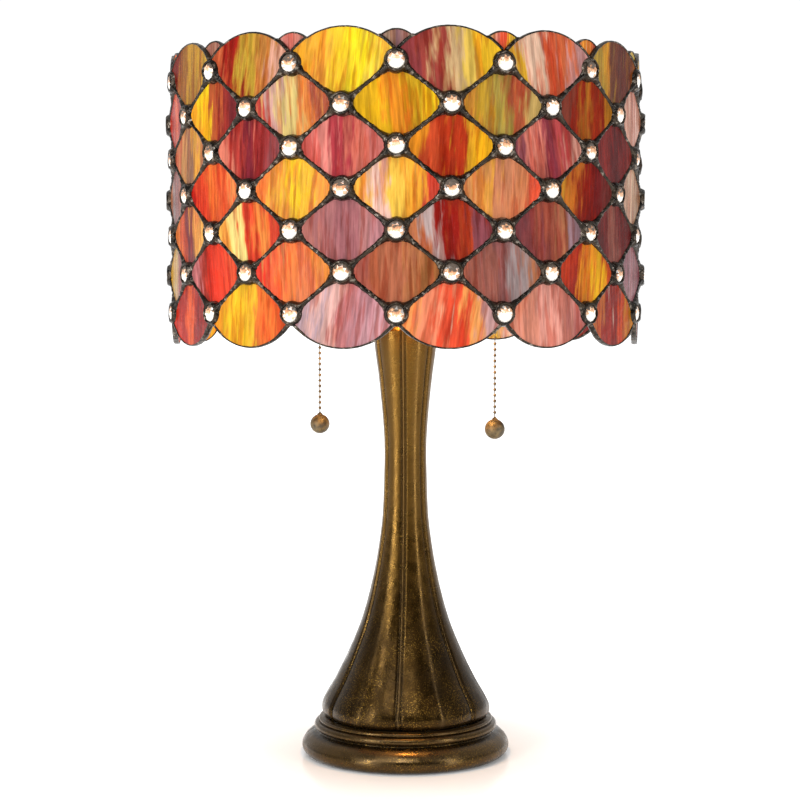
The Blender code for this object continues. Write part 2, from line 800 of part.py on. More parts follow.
def make_net(group, mats, parent):
    """The soldered lattice in front of the glass: a frame round every pane, joined at the jewels."""
    sheet = Sheet()
    for row in range(ROWS):
        kind = pane_kind(row)
        z = row_height(row)
        for step in range(COLUMNS):
            azimuth = column_azimuth(row, step)
            points = whole_pane(kind, 0)
            window = [on_plane(azimuth, NET_DISTANCE, a, z + up) for (a, up), _, _ in points]
            beyond = [net_point(row, azimuth, kind, b, sign) for _, b, sign in points]
            for i in range(len(points)):
                j = (i + 1) % len(points)
                sheet.face((window[j], window[i], beyond[i], beyond[j]))
    z = row_height(0)
    for step in range(COLUMNS):
        jewel = column_azimuth(1, step)
        points = fan_points(0)
        window = [on_plane(jewel, NET_DISTANCE, a, z + up) for (a, up), _, _ in points]
        beyond = []
        for _, name, sign in points:
            if name == "notch":
                beyond.append(net_point(0, jewel - HALF_STEP, "top_scallop", "notch", 1))
            elif name == "corner":
                side = jewel + sign * HALF_STEP
                beyond.append(net_point(0, side, "top_scallop", "corner", -sign))
            else:
                beyond.append(on_plane(jewel, NET_DISTANCE, sign * name, z + fan_curve(name)))
        for i in range(len(points)):
            j = (i + 1) % len(points)
            sheet.face((window[j], window[i], beyond[i], beyond[j]))
    sheet.finish("lead_net", NET_THICKNESS, -1.0, mats["lead"], group, parent)


def make_glass_row(group, mats, parent, row):
    """One row of flat panes, held together by narrow strips behind the jewels between them. The top row's
    strips also hold the small fans that fill the notches of its edge."""
    sheet = Sheet()
    kind = pane_kind(row)
    z = row_height(row)
    across, side_flat, _, _ = pane_corners(PANE_LAP)
    strip_distance = PANE_DISTANCE * math.cos(HALF_STEP) + across * math.sin(HALF_STEP)

    def place(step, point):
        return on_plane(column_azimuth(row, step), PANE_DISTANCE, point[0], z + point[1])

    for step in range(COLUMNS):
        sheet.face([place(step, point) for point, _, _ in whole_pane(kind, PANE_LAP)])
        strip = [
            place(step, (across, -side_flat)),
            place(step + 1, (-across, -side_flat)),
            place(step + 1, (-across, side_flat)),
        ]
        if row == 0:
            jewel = column_azimuth(0, step) + HALF_STEP
            points = [point for point, _, _ in fan_points(PANE_LAP)]
            root = [on_plane(jewel, strip_distance, FAN_LINK * side, z + side_flat) for side in (1, -1)]
            neck = [on_plane(jewel, PANE_DISTANCE, FAN_LINK * side, z + points[0][1]) for side in (1, -1)]
            strip += root
            sheet.face((root[1], root[0], neck[0], neck[1]))
            fan = [on_plane(jewel, PANE_DISTANCE, a, z + up) for a, up in points[1:]]
            sheet.face([neck[1], neck[0]] + fan)
        sheet.face(strip + [place(step, (across, side_flat))])
    sheet.finish(f"glass_row_{row + 1}", GLASS_THICKNESS, 0.0, mats["glass"], group, parent)


def make_spider(group, mats, parent):
    """The hub that sits on the riser's collar, three arms, and the ring soldered inside the shade."""
    middle = HUB_LOW + HUB_THICKNESS / 2
    hub = tube(HUB_LOW, HUB_LOW + HUB_THICKNESS, HUB_RADIUS, STUD_RADIUS + RUN)
    turned("spider_hub", hub, mats["brass"], group, parent=parent, steps=24)
    ring_radius = PANE_DISTANCE - GLASS_THICKNESS / 2 - GAP - SPIDER_WIRE - 0.0005
    segments = 6
    circle = [
        (
            ring_radius + SPIDER_WIRE * math.cos(math.tau * i / segments),
            middle - SPIDER_WIRE * math.sin(math.tau * i / segments),
        )
        for i in range(segments)
    ]
    turned("spider_ring", circle, mats["brass"], group, parent=parent, steps=RING_SIDES)
    ring_inside = (ring_radius - SPIDER_WIRE) * math.cos(math.pi / RING_SIDES)
    for i in range(SPIDER_ARMS):
        azimuth = FIRST_ARM_AZIMUTH + i * math.tau / SPIDER_ARMS
        start = polar(azimuth, HUB_RADIUS + GAP, middle)
        end = polar(azimuth, ring_inside - GAP, middle)
        rod(f"spider_arm_{i + 1}", [start, end], SPIDER_WIRE, mats["brass"], group, parent)


def make_finial(group, mats):
    """The knob that screws down on the stud and keeps the shade on."""
    low = HUB_LOW + HUB_THICKNESS + GAP
    bore = STUD_RADIUS + RUN
    depth = STUD_HEIGHT - HUB_THICKNESS
    holder = joint_empty("finial_axis", (0, 0, low), group)
    turned(
        "finial",
        [
            *((radius, low + FINIAL_HEIGHT - below) for radius, below in FINIAL_OUTLINE),
            (bore, low),
            (bore, low + depth),
            (0, low + depth),
        ],
        mats["brass"],
        group,
        parent=holder,
        steps=20,
    )


def main():
    clear_scene()
    group = collection(COLLECTION)
    cutters = collection("cutters")
    mats = {
        "bronze": material("antique_bronze", (0.075, 0.045, 0.014), 0.34, 0.85),
        "brass": material("aged_brass_fittings", (0.30, 0.20, 0.075), 0.38, 0.9),
        "aged_brass": material("antique_brass_pulls", (0.30, 0.19, 0.07), 0.42, 0.85),
        "steel": material("zinc_plated_steel", (0.45, 0.45, 0.44), 0.4, 0.9),
        "iron": material("grey_iron", (0.06, 0.06, 0.06), 0.7, 0.6),
        "board": material("fibre_board", (0.22, 0.15, 0.09), 0.9),
        "felt": material("dark_felt", (0.03, 0.028, 0.02), 0.95),
        "rubber": material("black_rubber", (0.015, 0.015, 0.015), 0.6),
        "wire": material("brown_wire", (0.05, 0.03, 0.015), 0.5),
        "phenolic": material("black_phenolic", (0.02, 0.018, 0.016), 0.4),
        "bulb": material("frosted_bulb", (0.9, 0.86, 0.78), 0.3),
        "lead": material("patinated_solder", (0.035, 0.028, 0.018), 0.45, 0.7),
        "glass": material("amber_rose_art_glass", (0.70, 0.24, 0.10), 0.2),
    }
    make_foot(group, cutters, mats)
    make_foot_inside(group, mats)
    make_column(group, mats)
    make_pipe(group, mats)
    make_cluster(group, mats)
    for side, word in ((1, "right"), (-1, "left")):
        exit_point = make_socket(group, mats, side, word)
        make_pull(group, mats, word, exit_point)
    shade = joint_empty("shade_axis", (0, 0, HUB_LOW), group)
    make_net(group, mats, shade)
    for row in range(ROWS):
        make_glass_row(group, mats, shade, row)
    make_spider(group, mats, shade)
    make_finial(group, mats)


main()
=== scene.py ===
"""Stained-glass drum table lamp: streaky art glass and cut stones in a soldered lattice, on a bronze column.

Metres and +Z up, front towards -Y. An azimuth is the turn about Z from the front, positive towards +X.
Row 0 is the top row of panes. A stone stands at every point where four panes meet.
"""
import json
import math
import random

import bmesh
import bpy
from mathutils import Matrix, Vector, noise


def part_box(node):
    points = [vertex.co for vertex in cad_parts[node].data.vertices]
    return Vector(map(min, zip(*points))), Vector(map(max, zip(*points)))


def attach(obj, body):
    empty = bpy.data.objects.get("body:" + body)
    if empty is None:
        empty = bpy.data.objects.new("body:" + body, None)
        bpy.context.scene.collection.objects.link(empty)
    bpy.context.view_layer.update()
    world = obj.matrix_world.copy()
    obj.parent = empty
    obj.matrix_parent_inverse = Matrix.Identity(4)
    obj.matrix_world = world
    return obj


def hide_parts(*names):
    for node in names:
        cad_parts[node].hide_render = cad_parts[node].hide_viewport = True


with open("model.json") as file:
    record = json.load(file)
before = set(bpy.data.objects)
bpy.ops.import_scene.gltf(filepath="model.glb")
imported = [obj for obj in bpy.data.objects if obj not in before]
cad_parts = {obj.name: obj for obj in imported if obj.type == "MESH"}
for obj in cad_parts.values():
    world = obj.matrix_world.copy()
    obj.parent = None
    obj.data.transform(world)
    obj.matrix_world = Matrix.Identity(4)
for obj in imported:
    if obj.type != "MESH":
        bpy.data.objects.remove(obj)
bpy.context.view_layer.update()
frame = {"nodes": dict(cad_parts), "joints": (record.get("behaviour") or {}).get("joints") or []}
MM = 0.001
scene = bpy.context.scene

# ---------------------------------------------------------------- sizes, as the cast and cut pieces have them
COLUMNS = 15
ROWS = 7
SHADE_RADIUS = 0.177
GLASS_THICKNESS = 0.003
FIRST_STONE_AZIMUTH = math.radians(-2)
HALF_STEP = math.pi / COLUMNS
PANE_DISTANCE = SHADE_RADIUS * math.cos(HALF_STEP) + GLASS_THICKNESS / 2
HALF_PITCH = SHADE_RADIUS * math.sin(HALF_STEP)
SCALLOP_PEAK = 0.0243
SCALLOP_RADIUS = 0.0476
FAN_HALF = 0.0113
FAN_PEAK = 0.0216

# Row heights are read from the glass that the model was packed with.
LOW_2, HIGH_2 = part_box("glass_row_2")
LOW_6, HIGH_6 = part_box("glass_row_6")
ROW_RISE = (LOW_2.z + HIGH_2.z - LOW_6.z - HIGH_6.z) / 2 / 4
TOP_ROW_Z = (LOW_2.z + HIGH_2.z) / 2 + ROW_RISE
NET_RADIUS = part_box("lead_net")[1].x - 0.0002
STONE_RADIUS = 0.0064
STONE_SINK = 0.0022  # of a stone's girdle under the lattice's front
BEZEL_RADIUS = 0.0088
BEZEL_SINK = 0.0002
SEAM_HALF = 0.0016
SEAM_LAP = 0.0002  # how far a seam's edges bite into the glass
RIM_HALF = 0.0007  # half the width of the foil over a free edge
RIM_FLARE = 0.0006  # added to it at a bezel
RIM_HALF_AT_FAN = 0.0013
RIM_PROUD = 0.0006
PAINTED_GLASS_GLOW = 0.45  # painted glow: how strongly the panes shine as emission, in place of the bulbs' light through them
GLASS_BODY = 0.42  # share of a sheet's colour that it throws back

COLUMN_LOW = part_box("column_casting")[0].z
COLUMN_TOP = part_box("column_casting")[1].z
COLUMN_HEIGHT = COLUMN_TOP - COLUMN_LOW
COLUMN_FOOT_RADIUS = 0.065
COLUMN_OUTLINE = (  # share of the height, share of the foot radius
    (0.0, 0.965), (0.012, 1.0), (0.035, 0.992), (0.10, 0.825), (0.165, 0.678), (0.25, 0.518), (0.36, 0.384),
    (0.49, 0.285), (0.615, 0.255), (0.72, 0.255), (0.865, 0.315), (0.95, 0.366), (1.0, 0.376),
)
PANELS = 6
RIB_AZIMUTH = math.radians(-5)
CREASE = 0.035
RIB_HEIGHT = 0.0012
RIB_HALF = 0.0013
KEEL = 0.012  # how far a panel's middle stands out, as a share of the radius
GROOVE_DEPTH = 0.0006
GROOVE_OUT = 0.0019  # from a rib's middle to the groove beside it
FOOT_RADIUS = 0.080
FOOT_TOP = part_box("foot_casting")[1].z

PIPE_BORE = 0.0052  # of what the pipe passes through
STUD_BORE = 0.0034
SPIDER_ARMS = 3
FIRST_ARM_AZIMUTH = math.radians(10)
GAP = 0.0003  # between pieces that touch
SOCKET_RADIUS = 0.017
SOCKET_WALL = 0.0015
BULB_BASE_RADIUS = 0.013
BULB_RADIUS = 0.030
DOME_LENGTH = 0.014
TUBE_LOW, TUBE_HIGH = DOME_LENGTH + GAP, 0.0523  # along the socket from its foot
SCREW_LOW = 0.0409  # also along the socket
SCREW_LENGTH = 0.022
SCREW_PITCH = 0.0034
SCREW_THREADS = 5
BULB_LENGTH = 0.088
BULB_NECK = 0.008  # straight glass above the screw
CHAIN_PITCH = 0.00424
BEAD_RADIUS = 0.00122
CHAIN_WIRE = 0.0004


# ---------------------------------------------------------------- places
def polar(azimuth, radius, height):
    return Vector((radius * math.sin(azimuth), -radius * math.cos(azimuth), height))


def on_plane(azimuth, distance, across, height):
    """A point on the upright plane that stands at a distance from the axis and faces the azimuth."""
    return polar(azimuth, distance, height) + Vector((math.cos(azimuth), math.sin(azimuth), 0)) * across


def column_azimuth(row, step):
    return FIRST_STONE_AZIMUTH + (HALF_STEP if row % 2 == 0 else 0.0) + 2 * HALF_STEP * step


def row_height(row):
    return TOP_ROW_Z - row * ROW_RISE


def scallop(across):
    return SCALLOP_PEAK - SCALLOP_RADIUS + math.sqrt(SCALLOP_RADIUS**2 - across**2)


def fan_curve(across):
    corner = scallop(HALF_PITCH - FAN_HALF)
    return FAN_PEAK - (FAN_PEAK - corner) * (across / FAN_HALF) ** 2


def smooth_read(outline, share):
    """Reads a smooth curve through the outline's (share, value) points."""
    for i in range(len(outline) - 1):
        if share <= outline[i + 1][0]:
            break
    before, start, end = outline[max(i - 1, 0)], outline[i], outline[i + 1]
    after = outline[min(i + 2, len(outline) - 1)]
    span = end[0] - start[0]
    t = (share - start[0]) / span
    slope_in = (end[1] - before[1]) / (end[0] - before[0]) * span
    slope_out = (after[1] - start[1]) / (after[0] - start[0]) * span
    rise = (2 * t**3 - 3 * t**2 + 1) * start[1] + (3 * t**2 - 2 * t**3) * end[1]
    return rise + (t**3 - 2 * t**2 + t) * slope_in + (t**3 - t**2) * slope_out


# ---------------------------------------------------------------- colours and nodes
def linear(code):
    """An sRGB hex colour as linear RGBA."""
    values = [int(code[i : i + 2], 16) / 255 for i in (0, 2, 4)]
    return (*[v / 12.92 if v <= 0.04045 else ((v + 0.055) / 1.055) ** 2.4 for v in values], 1.0)


def add(tree, kind, inputs=None, **settings):
    """Adds a node with its settings; an input's value may be a number, a colour or another node's output."""
    made = tree.nodes.new(kind)
    for name, value in settings.items():
        setattr(made, name, value)
    for key, value in (inputs or {}).items():
        if isinstance(value, bpy.types.NodeSocket):
            tree.links.new(value, made.inputs[key])
        else:
            made.inputs[key].default_value = value
    return made


def new_material(name, **sockets):
    """A material with one Principled shader, whose plain values are set on its own sockets."""
    made = bpy.data.materials.new(name)
    made.use_nodes = True
    tree = made.node_tree
    shader = tree.nodes["Principled BSDF"]
    for key, value in sockets.items():
        shader.inputs[key.replace("_", " ")].default_value = value
    return made, tree, shader


def grain(tree, size, detail=2.0, stretch=(1, 1, 1), roughness=0.5):
    """Noise whose grain is so many metres across, on the object's own coordinates."""
    place = add(tree, "ShaderNodeTexCoord").outputs["Object"]
    if stretch != (1, 1, 1):
        place = add(tree, "ShaderNodeMapping", {"Vector": place, "Scale": stretch}).outputs[0]
    made = add(tree, "ShaderNodeTexNoise", {"Vector": place, "Scale": 1 / size, "Detail": detail,
                                            "Roughness": roughness})
    return made.outputs["Fac"]


def ramp(tree, value, low, high, to_low=0.0, to_high=1.0):
    made = add(tree, "ShaderNodeMapRange", {"Value": value, "From Min": low, "From Max": high,
                                            "To Min": to_low, "To Max": to_high},
               interpolation_type="SMOOTHSTEP")
    return made.outputs["Result"]


def maths(tree, operation, first, second):
    return add(tree, "ShaderNodeMath", {0: first, 1: second}, operation=operation).outputs[0]


def mixed(tree, share, first, second, blend="MIX"):
    made = add(tree, "ShaderNodeMix", {0: share, 6: first, 7: second}, data_type="RGBA", blend_type=blend)
    return made.outputs[2]


def bumped(tree, shader, height, distance, strength=1.0):
    made = add(tree, "ShaderNodeBump", {"Height": height, "Distance": distance, "Strength": strength})
    tree.links.new(made.outputs[0], shader.inputs["Normal"])


def attribute(tree, name, output="Fac"):
    return add(tree, "ShaderNodeAttribute", attribute_name=name).outputs[output]


# ---------------------------------------------------------------- materials
def antique_bronze_casting():
    """Cast metal under a brown-black patina rubbed back on its ridges: a dark olive brown with gold specks,
    semi-gloss, with a faint sand-cast skin."""
    made, tree, shader = new_material("antique_bronze_casting", Metallic=0.88, Specular_IOR_Level=0.35)
    cloud = grain(tree, 22 * MM, 4.0, (1, 1, 0.45), 0.6)
    body = mixed(tree, ramp(tree, cloud, 0.30, 0.72), linear("211606"), linear("37260a"))
    # The narrow neck is painted lighter: a painted highlight and the warm glow from under the shade.
    neck = ramp(tree, attribute(tree, "dusting_and_painted_glow"), 0.85, 0.42, 0.0, 0.7)
    body = mixed(tree, neck, body, linear("664a1b"))
    wear = maths(tree, "MULTIPLY", attribute(tree, "wear"), 0.24)
    body = mixed(tree, wear, body, linear("8c7350"))
    body = mixed(tree, maths(tree, "MULTIPLY", attribute(tree, "hollow"), 0.8), body, linear("140e06"))
    # Gold specks of the patina, drawn about 0.8 mm across so that they show.
    speck = ramp(tree, grain(tree, 0.8 * MM, 1.0), 0.57, 0.68, 0.0, 0.5)
    patches = ramp(tree, grain(tree, 26 * MM, 2.0), 0.35, 0.65, 0.15, 1.0)
    speck = maths(tree, "MULTIPLY", speck, patches)
    dusting_and_painted_glow = maths(tree, "MULTIPLY", speck, attribute(tree, "dusting_and_painted_glow"))
    body = mixed(tree, dusting_and_painted_glow, body, linear("b58c3c"))
    tree.links.new(body, shader.inputs["Base Color"])
    gloss = ramp(tree, grain(tree, 9 * MM, 3.0), 0.3, 0.7, 0.22, 0.38)
    tree.links.new(gloss, shader.inputs["Roughness"])
    fine = maths(tree, "MULTIPLY", grain(tree, 1.3 * MM, 2.0), 0.35)
    skin = maths(tree, "ADD", fine, grain(tree, 7 * MM, 2.0))
    bumped(tree, shader, skin, 0.35 * MM, 0.55)
    return made


def patinated_solder():
    """Tin-lead solder run over copper foil and darkened with patina: nearly black bronze, lumpy, with grey
    patches that are partly bare metal where it was rubbed and partly painted glints of light."""
    made, tree, shader = new_material("patinated_solder", Metallic=0.68)
    blotch = grain(tree, 5 * MM, 3.0)
    body = mixed(tree, ramp(tree, blotch, 0.38, 0.66), linear("15100a"), linear("342a1e"))
    # Grey patches: partly bare metal, partly painted glints.
    rubbed = ramp(tree, grain(tree, 3.2 * MM, 2.0), 0.56, 0.70)
    body = mixed(tree, maths(tree, "MULTIPLY", rubbed, 0.5), body, linear("9c9184"))
    tree.links.new(body, shader.inputs["Base Color"])
    tree.links.new(ramp(tree, blotch, 0.35, 0.7, 0.24, 0.42), shader.inputs["Roughness"])
    bumped(tree, shader, grain(tree, 3.4 * MM, 2.0), 0.9 * MM, 0.8)
    return made


def streaky_art_glass():
    """Hand-rolled opalescent sheet lit from behind, its glow painted as an emission of its own colour: bands
    of molten colour pulled lengthwise into feathery streaks, with a wavy fire-polished face."""
    made, tree, shader = new_material("streaky_art_glass", IOR=1.22, Specular_IOR_Level=0.4,
                                      Emission_Strength=PAINTED_GLASS_GLOW)
    pane = attribute(tree, "pane", "Vector")

    def pulled(across, along, seed, detail=3.0, rough=0.55):
        """Noise drawn out along the pane, with so many streaks across it and along it."""
        place = add(tree, "ShaderNodeVectorMath", {0: pane, 1: (across, along, seed)}, operation="MULTIPLY")
        made = add(tree, "ShaderNodeTexNoise", {"Vector": place.outputs[0], "Scale": 1.0, "Detail": detail,
                                                "Roughness": rough})
        return made.outputs["Fac"]

    side = add(tree, "ShaderNodeSeparateXYZ", {0: pane}).outputs["X"]
    wander = maths(tree, "MULTIPLY", maths(tree, "SUBTRACT", pulled(1.6, 0.5, 7.3), 0.5), 0.55)
    feather = maths(tree, "MULTIPLY", maths(tree, "SUBTRACT", pulled(8.0, 0.9, 3.1, 3.0, 0.6), 0.5), 0.55)
    place = maths(tree, "MULTIPLY_ADD", side, 0.5)
    place.node.inputs[2].default_value = 0.5
    place = maths(tree, "ADD", maths(tree, "ADD", place, wander), feather)
    colour = attribute(tree, "band_1", "Color")
    for number, at in ((2, 0.2), (3, 0.4), (4, 0.6), (5, 0.8)):
        share = ramp(tree, place, at - 0.075, at + 0.075)
        colour = mixed(tree, share, colour, attribute(tree, f"band_{number}", "Color"))
    wisp = ramp(tree, pulled(7.5, 0.55, 5.7, 3.0), 0.60, 0.70)
    colour = mixed(tree, maths(tree, "MULTIPLY", wisp, 0.5), colour, attribute(tree, "wisp", "Color"))
    stain = maths(tree, "MULTIPLY", ramp(tree, pulled(6.0, 0.55, 4.4, 3.0, 0.6), 0.49, 0.60), 0.52)
    colour = mixed(tree, stain, colour, linear("d47c58"), "MULTIPLY")
    thread = ramp(tree, pulled(11.0, 0.8, 2.3, 3.0, 0.6), 0.3, 0.7, 0.64, 1.16)
    scaled = add(tree, "ShaderNodeVectorMath", {0: colour, "Scale": thread}, operation="SCALE").outputs[0]
    body = add(tree, "ShaderNodeVectorMath", {0: scaled, "Scale": GLASS_BODY}, operation="SCALE").outputs[0]
    tree.links.new(body, shader.inputs["Base Color"])
    # Painted glow: the sheet's own streaked colour is emitted in place of the bulbs' light passing through
    # it.
    tree.links.new(scaled, shader.inputs["Emission Color"])
    tree.links.new(ramp(tree, pulled(4.0, 2.0, 9.1), 0.3, 0.7, 0.2, 0.34), shader.inputs["Roughness"])
    threads = maths(tree, "MULTIPLY", pulled(30, 1.3, 2.3), 0.12)
    ripple = maths(tree, "ADD", grain(tree, 11 * MM, 2.0), threads)
    bumped(tree, shader, ripple, 0.9 * MM, 0.55)
    return made


def cut_crystal():
    """Clear pressed stones with polished facets, whose light is painted: painted white highlights where a
    facet would throw light back, painted peach and tan where it would show the glass and lamp behind, grey
    near the rim, and a faint painted glow."""
    made, tree, shader = new_material("cut_crystal", Roughness=0.05, IOR=1.56, Emission_Strength=0.08)
    mottle = maths(tree, "MULTIPLY", maths(tree, "SUBTRACT", grain(tree, 1.7 * MM, 2.0), 0.5), 0.8)
    tone = maths(tree, "ADD", attribute(tree, "painted_glint"), mottle)
    # Painted refraction: lighter on a stone's lower half, darker on its upper half.
    tone = maths(tree, "SUBTRACT", tone, maths(tree, "MULTIPLY", attribute(tree, "rise"), 0.85))
    colour = mixed(tree, ramp(tree, tone, 0.0, 0.14), linear("5c5148"), linear("ba8460"))
    colour = mixed(tree, ramp(tree, tone, 0.16, 0.34), colour, linear("dcb28e"))
    colour = mixed(tree, ramp(tree, tone, 0.42, 0.52), colour, linear("f2ece3"))
    tree.links.new(colour, shader.inputs["Base Color"])
    tree.links.new(colour, shader.inputs["Emission Color"])
    bumped(tree, shader, grain(tree, 3 * MM, 1.0), 0.1 * MM, 0.3)
    return made


def aged_metal(name, dark, light, spots, roughness, metallic=0.9, patch=6 * MM):
    """A plain turned or drawn metal whose surface has dulled in patches: two tones, small spots of tarnish
    and an uneven gloss."""
    made, tree, shader = new_material(name, Metallic=metallic)
    body = mixed(tree, ramp(tree, grain(tree, patch, 4.0), 0.35, 0.65), linear(dark), linear(light))
    spot = ramp(tree, grain(tree, patch / 4, 2.0), 0.58, 0.68)
    body = mixed(tree, maths(tree, "MULTIPLY", spot, 0.7), body, linear(spots))
    tree.links.new(body, shader.inputs["Base Color"])
    gloss = ramp(tree, grain(tree, patch / 2, 3.0), 0.3, 0.7, roughness - 0.08, roughness + 0.1)
    tree.links.new(gloss, shader.inputs["Roughness"])
    bumped(tree, shader, grain(tree, patch / 5, 2.0), 0.08 * MM, 0.5)
    return made


def dull_solid(name, dark, light, size, roughness, rise, **sockets):
    """A non-metal with a fine broken surface, such as felt, board, rubber or moulded resin: two close tones
    and a grain that stands up by so much."""
    made, tree, shader = new_material(name, **sockets)
    fibre = grain(tree, size, 4.0, roughness=0.65)
    body = mixed(tree, ramp(tree, fibre, 0.35, 0.68), linear(dark), linear(light))
    tree.links.new(body, shader.inputs["Base Color"])
    matt = ramp(tree, fibre, 0.3, 0.7, roughness, min(1.0, roughness + 0.1))
    tree.links.new(matt, shader.inputs["Roughness"])
    bumped(tree, shader, fibre, rise, 0.7)
    return made


def frosted_bulb_glass():
    """A lit bulb, etched inside: a warm cream glow in soft patches over a fine frost."""
    made, tree, shader = new_material("frosted_bulb_glass", Roughness=0.35, Emission_Strength=0.55)
    glow = ramp(tree, grain(tree, 40 * MM, 1.0), 0.3, 0.7)
    tree.links.new(mixed(tree, glow, linear("f2b860"), linear("f6d598")), shader.inputs["Emission Color"])
    frost = grain(tree, 0.9 * MM, 2.0)
    tree.links.new(mixed(tree, frost, linear("d8cbb0"), linear("ece2cc")), shader.inputs["Base Color"])
    bumped(tree, shader, frost, 0.05 * MM, 0.4)
    return made


BRONZE = antique_bronze_casting()
SOLDER = patinated_solder()
GLASS = streaky_art_glass()
CRYSTAL = cut_crystal()
BULB = frosted_bulb_glass()
# Spun and turned brass with a brown lacquer: a soft yellow-brown sheen.
BRASS = aged_metal("lacquered_brass", "5c4318", "a17a34", "2f220d", 0.32)
# Brass beads and balls left to tarnish: wood brown with dull gold patches.
OLD_BRASS = aged_metal("tarnished_brass", "453a25", "786540", "2c2213", 0.5, 0.25, 5 * MM)
# Zinc-plated turned steel: cold grey, slightly matt.
STEEL = aged_metal("zinc_plated_steel", "8a8c8e", "b9bbbc", "5c5d5f", 0.36)
# Grey iron as cast: dark, coarse and without shine.
IRON = aged_metal("grey_iron_as_cast", "2c2b2a", "484644", "5e4632", 0.62, 0.6)
FELT = dull_solid("wool_felt", "15120e", "2c2620", 0.9 * MM, 0.86, 0.35 * MM, Sheen_Weight=0.35)
BOARD = dull_solid("pressed_fibre_board", "4e3722", "7b5a3a", 1.6 * MM, 0.8, 0.15 * MM)
RUBBER = dull_solid("moulded_rubber", "0d0d0d", "1d1c1b", 0.8 * MM, 0.55, 0.05 * MM)
JACKET = dull_solid("brown_wire_jacket", "24160c", "382417", 1.2 * MM, 0.42, 0.04 * MM)
PHENOLIC = dull_solid("black_phenolic_moulding", "0c0b0a", "1b1917", 1.5 * MM, 0.3, 0.03 * MM)


# ---------------------------------------------------------------- mesh helpers
def place_piece(obj, body, slot_name, material, *stands_for, crease=None):
    """Finishes a piece: its material and shading, the body that it rides and the nodes that it stands for."""
    obj.data.materials.clear()
    obj.data.materials.append(material)
    obj.data.shade_smooth()
    if crease:
        obj.data.set_sharp_from_angle(angle=math.radians(crease))
    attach(obj, body)
    if stands_for:
        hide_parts(*stands_for)


def object_of(name, shape):
    """An object from a bmesh, with its faces turned outwards."""
    bmesh.ops.recalc_face_normals(shape, faces=shape.faces)
    mesh = bpy.data.meshes.new(name)
    shape.to_mesh(mesh)
    shape.free()
    obj = bpy.data.objects.new(name, mesh)
    scene.collection.objects.link(obj)
    return obj


def tube_through(shape, rings, capped=True):
    """Joins rings of points into one closed tube."""
    made = [[shape.verts.new(point) for point in ring] for ring in rings]
    count = len(made[0])
    pairs = zip(made, made[1:]) if capped else zip(made, made[1:] + made[:1])
    for ring, following in pairs:
        for i in range(count):
            j = (i + 1) % count
            shape.faces.new((ring[i], ring[j], following[j], following[i]))
    if capped:
        shape.faces.new(made[0][::-1])
        shape.faces.new(made[-1])


def turn_into(shape, profile, steps, matrix=Matrix()):
    """A profile of (radius, height) turned about Z. It is closed by its own axis points, or is a loop."""
    loop = min(radius for radius, _ in profile) > 0
    rings = []
    for radius, height in profile:
        if radius == 0:
            rings.append([shape.verts.new(matrix @ Vector((0, 0, height)))] * steps)
            continue
        turns = [math.tau * i / steps for i in range(steps)]
        spots = [Vector((radius * math.cos(t), radius * math.sin(t), height)) for t in turns]
        rings.append([shape.verts.new(matrix @ spot) for spot in spots])
    for ring, following in zip(rings, rings[1:] + (rings[:1] if loop else [])):
        for i in range(steps):
            j = (i + 1) % steps
            corners = list(dict.fromkeys((ring[i], ring[j], following[j], following[i])))
            if len(corners) > 2:
                shape.faces.new(corners)


def turned(name, profile, steps=64, matrix=Matrix()):
    shape = bmesh.new()
    turn_into(shape, profile, steps, matrix)
    return object_of(name, shape)


def turn_in_brass(name, body, node, profile, steps=64, matrix=Matrix(), crease=35):
    """A lacquered brass fitting that stands for one turned node."""
    place_piece(turned(name, profile, steps, matrix), body, "brass_fittings", BRASS, node, crease=crease)


def arc(centre, radius, start, end, steps):
    """Points round a centre from one angle to another, in degrees counter-clockwise from the first axis."""
    turns = [math.radians(start + (end - start) * i / steps) for i in range(steps + 1)]
    return [(centre[0] + radius * math.cos(turn), centre[1] + radius * math.sin(turn)) for turn in turns]


def lumps(obj, size, height, fine):
    """Moves a mesh's points along their normals by noise, as solder freezes unevenly."""
    moves = []
    for vertex in obj.data.vertices:
        coarse = noise.noise(vertex.co / size)
        small = noise.noise(vertex.co / (size * 0.37) + Vector((7.1, 3.3, 1.7)))
        moves.append(vertex.co + vertex.normal * height * (coarse + fine * small))
    for vertex, spot in zip(obj.data.vertices, moves):
        vertex.co = spot


def realised(name, tree, base, settings):
    """Runs a geometry tree on a base mesh with its named inputs set, and returns the plain mesh's object."""
    holder = bpy.data.objects.new(name + "_points", base)
    scene.collection.objects.link(holder)
    modifier = holder.modifiers.new("made", "NODES")
    modifier.node_group = tree
    for item in tree.interface.items_tree:
        if item.item_type == "SOCKET" and item.in_out == "INPUT" and item.name in settings:
            modifier[item.identifier] = settings[item.name]
    bpy.context.view_layer.update()
    graph = bpy.context.evaluated_depsgraph_get()
    mesh = bpy.data.meshes.new_from_object(holder.evaluated_get(graph))
    mesh.name = name
    bpy.data.objects.remove(holder)
    obj = bpy.data.objects.new(name, mesh)
    scene.collection.objects.link(obj)
    return obj


def new_tree(name, inputs):
    """A geometry tree with named inputs; returns it with its input node."""
    tree = bpy.data.node_groups.new(name, "GeometryNodeTree")
    tree.interface.new_socket("Geometry", in_out="INPUT", socket_type="NodeSocketGeometry")
    for label, kind in inputs:
        tree.interface.new_socket(label, in_out="INPUT", socket_type="NodeSocket" + kind)
    tree.interface.new_socket("Geometry", in_out="OUTPUT", socket_type="NodeSocketGeometry")
    return tree, add(tree, "NodeGroupInput")


def close_tree(tree, given, geometry):
    """Ends a tree as plain geometry with its material."""
    plain = add(tree, "GeometryNodeRealizeInstances", {"Geometry": geometry})
    finish = {"Geometry": plain.outputs[0], "Material": given["Material"]}
    finish = add(tree, "GeometryNodeSetMaterial", finish)
    add(tree, "NodeGroupOutput", {0: finish.outputs[0]})


